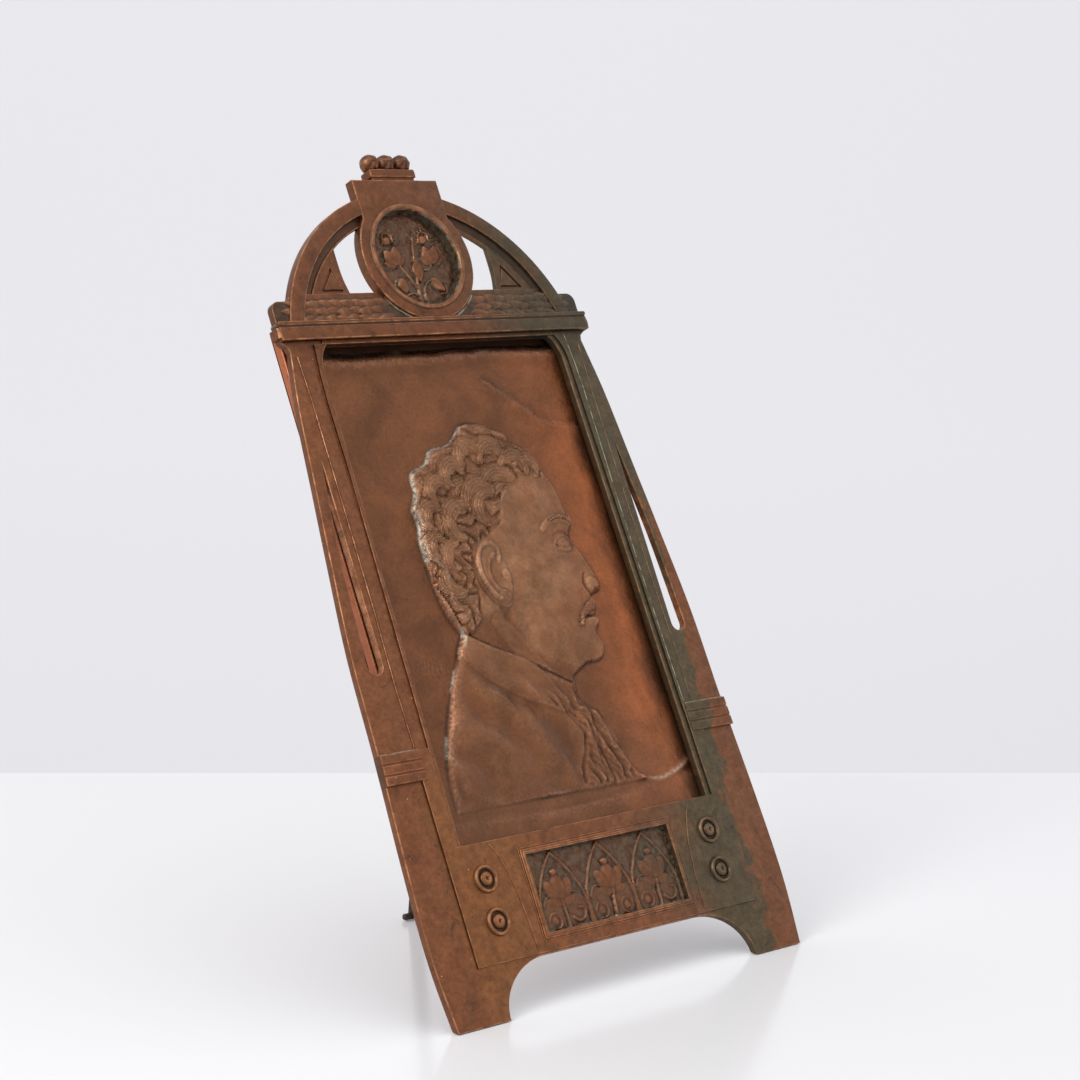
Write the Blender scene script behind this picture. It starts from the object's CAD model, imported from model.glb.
import math

import bpy
import numpy as np
from mathutils import Matrix, Vector
from mathutils.geometry import tessellate_polygon


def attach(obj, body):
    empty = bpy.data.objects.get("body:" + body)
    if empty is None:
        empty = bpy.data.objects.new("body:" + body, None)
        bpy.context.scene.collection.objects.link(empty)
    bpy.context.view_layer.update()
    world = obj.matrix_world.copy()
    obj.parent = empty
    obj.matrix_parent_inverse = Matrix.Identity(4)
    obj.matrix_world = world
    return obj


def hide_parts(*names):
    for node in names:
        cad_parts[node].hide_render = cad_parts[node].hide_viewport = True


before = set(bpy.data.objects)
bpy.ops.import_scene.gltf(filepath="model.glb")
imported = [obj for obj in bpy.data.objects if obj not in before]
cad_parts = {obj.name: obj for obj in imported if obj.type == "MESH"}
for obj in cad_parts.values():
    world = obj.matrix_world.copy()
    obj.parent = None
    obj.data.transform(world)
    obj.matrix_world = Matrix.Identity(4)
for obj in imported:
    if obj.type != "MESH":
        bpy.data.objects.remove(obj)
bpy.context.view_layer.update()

# The plaque is drawn in its own plane in millimetres: x across, y up the plate from the soles,
# z out of its front face. One matrix then leans it back and puts it where the CAD has it.
stance = {"lean": math.radians(25.6), "footprintCentre": 77.5, "plateBack": -3.4}
sinLean, cosLean = math.sin(stance["lean"]), math.cos(stance["lean"])
plateToWorld = Matrix.Scale(0.001, 4) @ Matrix((
    (1, 0, 0, 0),
    (0, sinLean, -cosLean, -stance["footprintCentre"]),
    (0, cosLean, sinLean, 0),
    (0, 0, 0, 1)))
# Side-on drawings: x is depth from the front edge, y is height, z runs across the plaque.
sideToWorld = Matrix.Scale(0.001, 4) @ Matrix((
    (0, 0, 1, 0),
    (1, 0, 0, -stance["footprintCentre"]),
    (0, 1, 0, 0),
    (0, 0, 0, 1)))


# camera, light and table
view = {"place": (-0.6974, -0.7882, 0.2940), "pitch": 82.99, "turn": -42.26, "lens": 89.33}
studio = {"table": (0.79, 0.79, 0.80), "tableRough": 0.16, "wall": (0.80, 0.795, 0.82), "backEdge": 0.335,
          "air": 0.93}


def aimedLight(name, place, target, size, power, tint):
    lamp = bpy.data.lights.new(name, "AREA")
    lamp.shape = "RECTANGLE"
    lamp.size, lamp.size_y = size
    lamp.energy = power
    lamp.color = tint
    holder = bpy.data.objects.new(name, lamp)
    holder.location = place
    holder.rotation_euler = (Vector(target) - Vector(place)).to_track_quat("-Z", "Y").to_euler()
    bpy.context.scene.collection.objects.link(holder)


def buildStudio():
    camera = bpy.data.objects.new("camera", bpy.data.cameras.new("camera"))
    camera.data.lens = view["lens"]
    camera.data.sensor_width = 36.0
    camera.data.clip_start, camera.data.clip_end = 0.05, 20.0
    camera.location = view["place"]
    camera.rotation_euler = (math.radians(view["pitch"]), 0, math.radians(view["turn"]))
    bpy.context.scene.collection.objects.link(camera)
    bpy.context.scene.camera = camera

    world = bpy.data.worlds.new("studioAir")
    world.use_nodes = True
    air = world.node_tree.nodes["Background"]
    air.inputs["Color"].default_value = (0.96, 0.965, 0.985, 1)
    air.inputs["Strength"].default_value = studio["air"]
    bpy.context.scene.world = world
    bpy.context.scene.view_settings.view_transform = "Standard"

    turn = math.radians(view["turn"])
    ahead, right = Vector((-math.sin(turn), math.cos(turn), 0)), Vector((math.cos(turn), math.sin(turn), 0))

    def sheet(name, corners, tint, rough):
        mesh = bpy.data.meshes.new(name)
        mesh.from_pydata([tuple(c) for c in corners], [], [(0, 1, 2, 3)])
        finish = bpy.data.materials.new(name)
        finish.use_nodes = True
        shader = finish.node_tree.nodes["Principled BSDF"]
        shader.inputs["Base Color"].default_value = (*tint, 1)
        shader.inputs["Roughness"].default_value = rough
        shader.inputs["Specular IOR Level"].default_value = 0.3
        mesh.materials.append(finish)
        board = bpy.data.objects.new(name, mesh)
        bpy.context.scene.collection.objects.link(board)

    back, front, side = ahead * studio["backEdge"], ahead * -2.4, right * 2.6
    down = Vector((0, 0, -0.0004))
    sheet("table", [front - side + down, front + side + down, back + side + down, back - side + down],
          studio["table"], studio["tableRough"])
    far, low, high = ahead * 2.2, Vector((0, 0, -1.4)), Vector((0, 0, 3.2))
    sheet("wall", [far - side * 2 + low, far + side * 2 + low, far + side * 2 + high, far - side * 2 + high],
          studio["wall"], 0.9)
    aimedLight("softboxLeft", (-1.6, -0.2, 1.3), (0, 0, 0.14), (0.8, 0.9), 15, (1.0, 0.985, 0.96))
    aimedLight("softboxTop", (-0.1, -0.2, 1.9), (0, 0, 0.1), (2.6, 2.2), 8, (1.0, 1.0, 1.0))


buildStudio()
print("stage: studio ready")


# shells: points and faces with three wear marks in each corner: rubbed, crevice, bloom
class Shell:
    def __init__(self):
        self.points, self.faces, self.marks, self.flats = [], [], [], []

    def add(self, points, faces, marks=(0, 0, 0), flat=False, perPoint=False):
        start = len(self.points)
        self.points.extend(map(tuple, points))
        for number, face in enumerate(faces):
            self.faces.append([start + i for i in face])
            if perPoint:
                self.marks.extend(tuple(marks[i]) for i in face)
            else:
                mark = marks[number] if isinstance(marks, list) else marks
                self.marks.extend([mark] * len(face))
            self.flats.append(flat[number] if isinstance(flat, list) else flat)

    def addMesh(self, mesh):
        layerOf = mesh.attributes.get("wear")
        start = len(self.points)
        self.points.extend(tuple(v.co) for v in mesh.vertices)
        for poly in mesh.polygons:
            self.faces.append([start + i for i in poly.vertices])
            self.flats.append(not poly.use_smooth)
            for corner in poly.loop_indices:
                self.marks.append(tuple(layerOf.data[corner].color[:3]) if layerOf else (0, 0, 0))

    def toMesh(self, name, place=None, sharp=34):
        mesh = bpy.data.meshes.new(name)
        mesh.from_pydata(self.points, [], self.faces)
        mesh.polygons.foreach_set("use_smooth", [not flat for flat in self.flats])
        wear = mesh.attributes.new("wear", "FLOAT_COLOR", "CORNER")
        colours = np.ones((len(self.marks), 4), np.float32)
        colours[:, :3] = self.marks
        wear.data.foreach_set("color", colours.ravel())
        if place is not None:
            mesh.transform(place)
        mesh.set_sharp_from_angle(angle=math.radians(sharp))
        mesh.update()
        return mesh


def pieceFrom(mesh, name, material, body, nodes):
    mesh.materials.clear()
    mesh.materials.append(material)
    piece = bpy.data.objects.new(name, mesh)
    bpy.context.scene.collection.objects.link(piece)
    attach(piece, body)
    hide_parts(*nodes)
    return piece


# drawing helpers
def spline(points, steps):
    p = np.array(points, float)
    out = []
    for share in np.linspace(0, len(p) - 1, steps + 1):
        i = min(int(share), len(p) - 2)
        t = share - i
        a, b, c, d = p[max(i - 1, 0)], p[i], p[i + 1], p[min(i + 2, len(p) - 1)]
        out.append(0.5 * (2 * b + (c - a) * t + (2 * a - 5 * b + 4 * c - d) * t * t
                          + (3 * b - a - 3 * c + d) * t ** 3))
    return np.array(out)


def arc(x, y, radiusX, radiusY, start, stop, steps):
    angles = np.radians(np.linspace(start, stop, steps + 1))
    return np.stack([x + radiusX * np.cos(angles), y + radiusY * np.sin(angles)], -1)


def flip(points):
    return np.array(points)[::-1] * [-1, 1]


def bothSides(right):
    return np.vstack([right, flip(right)])


def signedArea(loop):
    after = np.roll(loop, -1, 0)
    return 0.5 * np.sum(loop[:, 0] * after[:, 1] - after[:, 0] * loop[:, 1])


def cleaned(loop, least=0.02):
    loop = np.array(loop, float)
    keep = np.linalg.norm(loop - np.roll(loop, 1, 0), axis=1) > least
    return loop[keep]


def inset(loop, distance):
    ahead = np.roll(loop, -1, 0) - loop
    ahead /= np.linalg.norm(ahead, axis=1)[:, None]
    inward = np.stack([-ahead[:, 1], ahead[:, 0]], -1)
    both = inward + np.roll(inward, 1, 0)
    both /= np.maximum(np.linalg.norm(both, axis=1), 1e-6)[:, None]
    stretch = 1 / np.maximum(np.sum(both * inward, 1), 0.55)
    return loop + both * (stretch * distance)[:, None]


def slab(shell, outer, low, high, holes=(), edge=0.3, backEdge=0.0, crevice=1.0, bloom=0.0, rub=1.0, steps=3,
         cap=(0, 0, 0), sides=None):
    # An outline between two heights with its front (and back) edges rounded over. Its walls are marked with
    # crevice and bloom (or with sides), its rounded edges with rub and its flat faces with cap.
    loops = [cleaned(outer)] + [cleaned(hole) for hole in holes]
    loops = [loop if (signedArea(loop) > 0) == (i == 0) else loop[::-1] for i, loop in enumerate(loops)]
    turns = np.linspace(0, math.pi / 2, steps + 1)
    # each level is an inset, a height and how far it has turned over
    levels = [(0, low, 0.0)]
    if backEdge:
        levels = [(backEdge * (1 - math.sin(t)), low + backEdge * (1 - math.cos(t)), 0.0) for t in turns]
    levels += [(edge * (1 - math.cos(t)), high - edge + edge * math.sin(t), t) for t in turns]
    wallMarks = sides or (0.0, crevice, bloom)
    points, faces, marks, flats, tops, bottoms = [], [], [], [], [], []
    for loop in loops:
        count, start = len(loop), len(points)
        for depth, z, _ in levels:
            points.extend((x, y, z) for x, y in (inset(loop, depth) if depth else loop))
        for k in range(len(levels) - 1):
            wall = levels[k + 1][2] == 0.0
            a, b = start + k * count, start + (k + 1) * count
            for i in range(count):
                j = (i + 1) % count
                faces.append([a + i, a + j, b + j, b + i])
                marks.append(wallMarks if wall else (rub, 0.0, 0.0))
                flats.append(False)
        bottoms.append(range(start, start + count))
        tops.append(range(start + (len(levels) - 1) * count, start + len(levels) * count))
    for rings, wanted in ((tops, 1), (bottoms, -1)):
        order = [i for ring in rings for i in ring]
        for tri in tessellate_polygon([[Vector((points[i][0], points[i][1], 0)) for i in ring]
                                       for ring in rings]):
            a, b, c = (points[order[i]] for i in tri)
            turn = (b[0] - a[0]) * (c[1] - a[1]) - (b[1] - a[1]) * (c[0] - a[0])
            face = [order[i] for i in tri]
            faces.append(face if turn * wanted > 0 else face[::-1])
            marks.append(cap)
            flats.append(True)
    shell.add(points, faces, marks, flats)


def turned(shell, profile, spokes):
    # A form turned about the z axis. Each row of the profile, from the centre out, is a radius, a height and
    # the rubbed, crevice and bloom marks of the band that starts there.
    angles = np.linspace(0, 2 * math.pi, spokes, endpoint=False)
    points = [(0, 0, profile[0][1])]
    for radius, z, *_ in profile[1:]:
        points.extend((radius * math.cos(a), radius * math.sin(a), z) for a in angles)
    marks = [tuple(row[2:]) or (0, 0, 0) for row in profile]
    ring = lambda k, i: 1 + (k - 1) * spokes + i % spokes
    faces = [[0, ring(1, i), ring(1, i + 1)] for i in range(spokes)]
    wears = [marks[0]] * spokes
    for k in range(1, len(profile) - 1):
        faces += [[ring(k, i), ring(k + 1, i), ring(k + 1, i + 1), ring(k, i + 1)] for i in range(spokes)]
        wears += [marks[k]] * spokes
    faces.append([ring(len(profile) - 1, i) for i in range(spokes)][::-1])
    wears.append((0, 0, 0))
    shell.add(points, faces, wears)


def ribbon(points, width):
    # The closed outline of a strip of even width along a line.
    points = np.array(points, float)
    along = np.gradient(points, axis=0)
    along /= np.linalg.norm(along, axis=1)[:, None]
    across = np.stack([-along[:, 1], along[:, 0]], -1) * width / 2
    return np.vstack([points - across, (points + across)[::-1]])


def grime(shell, points, width, level, dark=1.0, pale=0.0):
    # A thin line of dirt lying in a corner.
    slab(shell, ribbon(points, width), level - 0.3, level + 0.06, edge=0.05, crevice=dark, bloom=pale,
         rub=0.0, steps=1,
         cap=(0, dark, pale))


# relief modelling on height tables
def softNoise(x, y, scale, seed):
    # Smooth random values from -1 to 1 over a lattice of the given size.
    table = np.random.default_rng(seed).uniform(-1, 1, (64, 64))
    u, v = x / scale + 17.3, y / scale + 11.9
    i, j = np.floor(u).astype(int), np.floor(v).astype(int)
    fu, fv = u - i, v - j
    fu, fv = fu * fu * (3 - 2 * fu), fv * fv * (3 - 2 * fv)
    at = lambda a, b: table[a % 64, b % 64]
    return (at(i, j) * (1 - fu) + at(i + 1, j) * fu) * (1 - fv) + (at(i, j + 1) * (1 - fu)
        + at(i + 1, j + 1) * fu) * fv


def toLine(x, y, line):
    # Distance, share along and signed side of each point from a line of points.
    line = np.array(line, float)
    lengths = np.linalg.norm(np.diff(line, axis=0), axis=1)
    total, run = lengths.sum(), 0.0
    best = np.full(x.shape, 1e9)
    share, side = np.zeros(x.shape), np.zeros(x.shape)
    for (x0, y0), (x1, y1), length in zip(line[:-1], line[1:], lengths):
        if length < 1e-9:
            continue
        dx, dy = (x1 - x0) / length, (y1 - y0) / length
        along = np.clip((x - x0) * dx + (y - y0) * dy, 0, length)
        offX, offY = x - x0 - along * dx, y - y0 - along * dy
        distance = np.hypot(offX, offY)
        nearer = distance < best
        best = np.where(nearer, distance, best)
        share = np.where(nearer, (run + along) / total, share)
        side = np.where(nearer, np.sign(dx * (y - y0) - dy * (x - x0)) * distance, side)
        run += length
    return best, share, side


def inside(x, y, loop):
    loop = np.array(loop, float)
    odd = np.zeros(x.shape, bool)
    for (x0, y0), (x1, y1) in zip(loop, np.roll(loop, -1, 0)):
        if y0 == y1:
            continue
        crosses = (y0 > y) != (y1 > y)
        odd ^= crosses & (x < (x1 - x0) * (y - y0) / (y1 - y0) + x0)
    return odd


def depthIn(x, y, loop):
    # How far inside a closed outline each point lies; negative outside.
    loop = np.array(loop, float)
    distance = toLine(x, y, np.vstack([loop, loop[:1]]))[0]
    return np.where(inside(x, y, loop), distance, -distance)


def smooth(value, low, high):
    t = np.clip((value - low) / (high - low), 0, 1)
    return t * t * (3 - 2 * t)


def leafBump(x, y, baseX, baseY, degrees, length, width, height, vein=0.0):
    a = math.radians(degrees)
    along = ((x - baseX) * math.cos(a) + (y - baseY) * math.sin(a)) / length
    across = -(x - baseX) * math.sin(a) + (y - baseY) * math.cos(a)
    t = np.clip(along, 0, 1)
    half = np.maximum(width / 2 * np.sin(math.pi * t ** 0.9) ** 0.75, 1e-6)
    r = np.clip(np.abs(across) / half, 0, 1)
    bump = height * np.sqrt(1 - r ** 2.4) * (0.62 + 0.38 * np.sin(math.pi * t))
    bump -= vein * np.exp(-(across / 0.35) ** 2) * (r < 1)
    return np.where((along > 0) & (along < 1) & (r < 1), bump, 0)


def ridge(x, y, line, width, height, taper=0.0):
    distance, share, _ = toLine(x, y, line)
    half = width / 2 * (1 - taper * share)
    return height * np.sqrt(np.clip(1 - (distance / half) ** 2, 0, 1))


def oval(x, y, centreX, centreY, radiusX, radiusY, degrees=0):
    a = math.radians(degrees)
    u = ((x - centreX) * math.cos(a) + (y - centreY) * math.sin(a)) / radiusX
    v = (-(x - centreX) * math.sin(a) + (y - centreY) * math.cos(a)) / radiusY
    return u * u + v * v


def dome(x, y, centreX, centreY, radiusX, radiusY, degrees=0):
    return np.sqrt(np.clip(1 - oval(x, y, centreX, centreY, radiusX, radiusY, degrees), 0, 1))


def groove(x, y, line, width, depth):
    return depth * np.exp(-(toLine(x, y, line)[0] / (width / 2)) ** 2)


def blurred(table, reach):
    out = table
    for axis in (0, 1):
        total = np.zeros_like(out)
        for step in range(-reach, reach + 1):
            total += np.roll(out, step, axis)
        out = total / (2 * reach + 1)
    return out


def wearOf(table, reach, gain):
    # Rubbed on the high places and crevice in the low ones, from a height table.
    rise = (table - blurred(table, reach)) * gain
    return np.clip(rise, 0, 1), np.clip(-rise, 0, 1)


def gridSheet(shell, xs, ys, heights, back, marks):
    # A closed slab whose front follows a height table.
    nx, ny = len(xs), len(ys)
    gx, gy = np.meshgrid(xs, ys)
    front = np.stack([gx, gy, heights], -1).reshape(-1, 3)
    index = np.arange(nx * ny).reshape(ny, nx)
    quads = np.stack([index[:-1, :-1], index[:-1, 1:], index[1:, 1:], index[1:, :-1]], -1).reshape(-1, 4)
    border = np.concatenate([index[0, :-1], index[:-1, -1], index[-1, :0:-1], index[:0:-1, 0]])
    low = front[border].copy()
    low[:, 2] = back
    points = np.vstack([front, low])
    base, count = nx * ny, len(border)
    faces = quads.tolist()
    faces += [[base + i, base + (i + 1) % count, int(border[(i + 1) % count]), int(border[i])]
              for i in range(count)]
    faces.append([base + i for i in range(count)][::-1])
    allMarks = np.vstack([marks.reshape(-1, 3), np.zeros((count, 3))])
    shell.add(points.tolist(), faces, allMarks.tolist(), perPoint=True)


def addNode(tree, kind, sockets=None, **settings):
    # Each socket is linked to the socket it is given, or set to the value it is given.
    node = tree.nodes.new(kind)
    for key, value in settings.items():
        setattr(node, key, value)
    for key, value in (sockets or {}).items():
        if isinstance(value, bpy.types.NodeSocket):
            tree.links.new(value, node.inputs[key])
        else:
            node.inputs[key].default_value = value
    return node


# a Geometry Nodes row: one source repeated along a straight line
def makeRowTree():
    tree = bpy.data.node_groups.new("rowOfParts", "GeometryNodeTree")
    face = tree.interface
    face.new_socket("Geometry", in_out="INPUT", socket_type="NodeSocketGeometry")
    face.new_socket("Geometry", in_out="OUTPUT", socket_type="NodeSocketGeometry")
    for label, kind in (("Source", "Object"), ("Count", "Int"), ("Start", "Vector"), ("Step", "Vector"),
                        ("Turn", "Float"),
                        ("Stray turn", "Float"), ("Stray size", "Float"), ("Seed", "Int"),
                        ("Finish", "Material")):
        face.new_socket(label, in_out="INPUT", socket_type="NodeSocket" + kind)

    def add(kind, sockets=None, **settings):
        return addNode(tree, kind, sockets, **settings)

    def stray(low, high):
        # sockets 2 and 3 are the float pair of the random node, and its second output is the float
        return add("FunctionNodeRandomValue", {2: low, 3: high, "Seed": given["Seed"]},
                   data_type="FLOAT").outputs[1]

    def figure(operation, a, b):
        return add("ShaderNodeMath", {0: a, 1: b}, operation=operation).outputs[0]

    given = add("NodeGroupInput").outputs
    line = add("GeometryNodeMeshLine", {"Count": given["Count"], "Start Location": given["Start"],
                                        "Offset": given["Step"]},
               mode="OFFSET")
    source = add("GeometryNodeObjectInfo", {"Object": given["Source"]})
    turn = stray(figure("MULTIPLY", given["Stray turn"], -1.0), given["Stray turn"])
    spin = add("ShaderNodeCombineXYZ", {"Z": figure("ADD", given["Turn"], turn)})
    size = stray(figure("SUBTRACT", 1.0, given["Stray size"]), figure("ADD", 1.0, given["Stray size"]))
    placed = add("GeometryNodeInstanceOnPoints",
                 {"Points": line.outputs["Mesh"], "Instance": source.outputs["Geometry"],
                                                  "Rotation": spin.outputs["Vector"], "Scale": size})
    solid = add("GeometryNodeRealizeInstances", {"Geometry": placed.outputs["Instances"]})
    finish = add("GeometryNodeSetMaterial",
                 {"Geometry": solid.outputs["Geometry"], "Material": given["Finish"]})
    add("NodeGroupOutput", {"Geometry": finish.outputs["Geometry"]})
    return tree, {item.name: item.identifier for item in face.items_tree if item.in_out == "INPUT"}


rowTree, rowSockets = makeRowTree()


def rowOf(shell, source, material, count, start, step, turn=0.0, strayTurn=0.0, straySize=0.0, seed=1):
    # Repeats a source shell along a line and adds the plain result to another shell.
    stock = bpy.data.objects.new("stock", source.toMesh("stock"))
    bpy.context.scene.collection.objects.link(stock)
    carrier = bpy.data.objects.new("row", bpy.data.meshes.new("row"))
    bpy.context.scene.collection.objects.link(carrier)
    row = carrier.modifiers.new("row", "NODES")
    row.node_group = rowTree
    values = {"Source": stock, "Count": count, "Start": start, "Step": step, "Turn": turn,
              "Stray turn": strayTurn,
              "Stray size": straySize, "Seed": seed, "Finish": material}
    for label, value in values.items():
        row[rowSockets[label]] = value
    bpy.context.view_layer.update()
    depsgraph = bpy.context.evaluated_depsgraph_get()
    plain = bpy.data.meshes.new_from_object(carrier.evaluated_get(depsgraph))
    shell.addMesh(plain)
    carrier.modifiers.remove(row)
    for spent in (carrier, stock):
        mesh = spent.data
        bpy.data.objects.remove(spent)
        bpy.data.meshes.remove(mesh)
    bpy.data.meshes.remove(plain)


print("stage: tools ready")


# Finishes. Every one reads Object coordinates turned into the plate's own millimetres.
def linear(red, green, blue):
    return tuple((c / 255 / 12.92 if c <= 10 else ((c / 255 + 0.055) / 1.055) ** 2.4)
                 for c in (red, green, blue)) + (1,)


class Finish:
    def __init__(self, name, upright=False):
        self.material = bpy.data.materials.new(name)
        self.material.use_nodes = True
        self.tree = self.material.node_tree
        self.shader = self.tree.nodes["Principled BSDF"]
        placing = {"Vector": self.node("ShaderNodeTexCoord").outputs["Object"], "Scale": (1000, 1000, 1000)}
        if not upright:
            shift = stance["footprintCentre"]
            placing["Rotation"] = (stance["lean"] - math.pi / 2, 0, 0)
            placing["Location"] = (0, shift * sinLean, -shift * cosLean)
        self.place = self.node("ShaderNodeMapping", placing).outputs["Vector"]
        self.across, self.up, self.out = self.node("ShaderNodeSeparateXYZ", {"Vector": self.place}).outputs
        wear = self.node("ShaderNodeAttribute", attribute_name="wear").outputs["Color"]
        self.rub, self.crevice, self.bloom = self.node("ShaderNodeSeparateColor", {"Color": wear}).outputs

    def node(self, kind, sockets=None, **settings):
        return addNode(self.tree, kind, sockets, **settings)

    def math(self, operation, a, b=0.0, c=0.0):
        return self.node("ShaderNodeMath", {0: a, 1: b, 2: c}, operation=operation).outputs[0]

    def times(self, a, b):
        return self.math("MULTIPLY", a, b)

    def without(self, share, part=1.0):
        return self.math("SUBTRACT", 1.0, self.times(share, part))

    def strayed(self, place, noise, reach):
        # a place moved to and fro by a noise
        return self.math("MULTIPLY_ADD", self.math("SUBTRACT", noise, 0.5), reach, place)

    def toned(self, colour, share):
        grey = self.node("ShaderNodeCombineColor",
                         {"Red": share, "Green": share, "Blue": share}).outputs["Color"]
        return self.blend(1.0, colour, grey, "MULTIPLY")

    def span(self, value, low, high, to=(0.0, 1.0)):
        limits = {"Value": value, "From Min": low, "From Max": high, "To Min": to[0], "To Max": to[1]}
        return self.node("ShaderNodeMapRange", limits, interpolation_type="SMOOTHSTEP").outputs["Result"]

    def noise(self, size, detail=3.0, rough=0.55, stretch=None, warp=0.0):
        place = self.place
        if stretch:
            place = self.node("ShaderNodeMapping", {"Vector": place, "Scale": stretch}).outputs["Vector"]
        return self.node("ShaderNodeTexNoise", {"Vector": place, "Scale": 1.0 / size, "Detail": detail,
                                                "Roughness": rough,
                                                "Distortion": warp}).outputs["Fac"]

    def spots(self, size, low, high):
        cells = self.node("ShaderNodeTexVoronoi", {"Vector": self.place, "Scale": 1.0 / size,
                                                   "Randomness": 1.0})
        return self.span(cells.outputs["Distance"], high, low)

    def blend(self, share, a, b, kind="MIX"):
        # sockets 6 and 7 are the colour pair of the mix node, and its third output is the colour
        return self.node("ShaderNodeMix", {"Factor": share, 6: a, 7: b}, data_type="RGBA",
                         blend_type=kind).outputs[2]

    def bump(self, height, depth, below=None):
        sockets = {"Height": height, "Distance": depth, "Strength": 1.0}
        if below is not None:
            sockets["Normal"] = below
        return self.node("ShaderNodeBump", sockets).outputs["Normal"]

    def done(self, colour, rough, normal, metallic):
        for label, value in (("Base Color", colour), ("Roughness", rough), ("Normal", normal)):
            self.tree.links.new(value, self.shader.inputs[label])
        self.shader.inputs["Metallic"].default_value = metallic
        return self.material


bronzeLook = {
    "brown": linear(130, 84, 50), "ochre": linear(142, 92, 48), "olive": linear(90, 76, 54),
    "green": linear(86, 78, 58),
    "copper": linear(208, 146, 104), "soot": linear(42, 33, 24), "bloom": linear(170, 174, 150),
    "red": linear(124, 68, 40), "chip": linear(226, 206, 184),
    "metallic": 0.6, "rough": (0.28, 0.48)}


def bronzeFinish():
    look, f = bronzeLook, Finish("castBronze")
    broad = f.noise(46, 2.0, 0.5)
    patchy = f.noise(15, 4.0, 0.6, warp=0.4)
    fine = f.noise(2.2, 4.0, 0.65)
    # Olive patina takes over towards the right leg and the right of the apron.
    drift = f.strayed(f.across, broad, 60.0)
    drift = f.strayed(drift, patchy, 34.0)
    olive = f.span(drift, 8, 58)
    # The outer border of the right leg and its foot stay red-brown.
    border = f.node("ShaderNodeMapRange", {"Value": f.up, "From Min": 0.0, "From Max": 225.0,
                                           "To Min": 75.0, "To Max": 84.0}).outputs["Result"]
    streaky = f.noise(5, 4.0, 0.7, stretch=(1.0, 0.35, 1.0))
    edge = f.math("SUBTRACT", f.strayed(f.across, streaky, 34.0), border)
    redEdge = f.times(f.span(edge, -1.6, 1.6), f.span(f.up, 226, 196))
    olive = f.times(olive, f.without(redEdge, 0.9))
    # The foot of the panel and the apron's middle keep a red tone.
    low = f.times(f.span(f.up, 36, 16), f.span(f.across, 62, 30))
    olive = f.times(olive, f.without(low, 0.75))
    base = f.blend(patchy, look["brown"], look["red"])
    warm = f.times(f.times(f.span(f.across, -20, -52), f.span(f.across, -78, -72)), f.span(f.up, 112, 80))
    base = f.blend(f.times(warm, 0.5), base, look["ochre"])
    base = f.blend(olive, base, f.blend(f.span(patchy, 0.5, 0.72), look["olive"], look["green"]))
    tonal = f.span(f.noise(7, 5.0, 0.7), 0.2, 0.85, (0.70, 1.22))
    tonal = f.times(tonal, f.span(fine, 0.25, 0.75, (0.78, 1.18)))
    tonal = f.times(tonal, f.span(f.up, 250, 270, (1.0, 0.78)))
    base = f.toned(base, tonal)
    stain = f.times(f.span(f.noise(9, 4.0, 0.7, warp=1.2), 0.56, 0.74), 0.55)
    base = f.blend(stain, base, look["soot"])
    pits = f.math("MAXIMUM", f.times(f.spots(3.2, 0.05, 0.13), f.span(patchy, 0.42, 0.62)),
                  f.times(f.spots(1.5, 0.04, 0.1), f.span(broad, 0.4, 0.6)))
    base = f.blend(f.times(pits, 0.8), base, look["soot"])
    crevice = f.times(f.crevice, f.span(fine, 0.2, 0.6, (0.5, 0.95)))
    base = f.blend(crevice, base, look["soot"])
    rubbed = f.times(f.rub, f.span(f.noise(5, 4.0, 0.6), 0.36, 0.68, (0.06, 0.62)))
    rubbed = f.times(rubbed, f.without(olive, 0.62))
    base = f.blend(rubbed, base, look["copper"])
    powder = f.times(f.bloom, f.span(f.noise(3.0, 4.0, 0.7), 0.38, 0.6))
    base = f.blend(powder, base, look["bloom"])
    chips = f.times(f.spots(3.6, 0.035, 0.075),
                    f.times(f.span(patchy, 0.52, 0.6), f.span(f.across, -58, -70)))
    base = f.blend(chips, base, look["chip"])
    rough = f.span(patchy, 0.25, 0.8, look["rough"])
    rough = f.math("SUBTRACT", rough, f.times(rubbed, 0.12))
    rough = f.math("MULTIPLY_ADD", powder, 0.3, rough)
    normal = f.bump(f.noise(11, 2.0, 0.5), 0.0003)
    normal = f.bump(f.noise(2.6, 3.0, 0.6), 0.00012, normal)
    normal = f.bump(f.noise(0.9, 4.0, 0.7), 0.00009, normal)
    normal = f.bump(f.times(pits, -1.0), 0.00016, normal)
    return f.done(base, rough, normal, look["metallic"])


copperLook = {
    "brown": linear(118, 72, 42), "orange": linear(166, 94, 52), "head": linear(156, 110, 76),
    "soot": linear(48, 34, 24),
    "bright": linear(232, 180, 152), "bloom": linear(204, 194, 176), "dust": linear(122, 82, 58),
    "metallic": 0.65}


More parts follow.
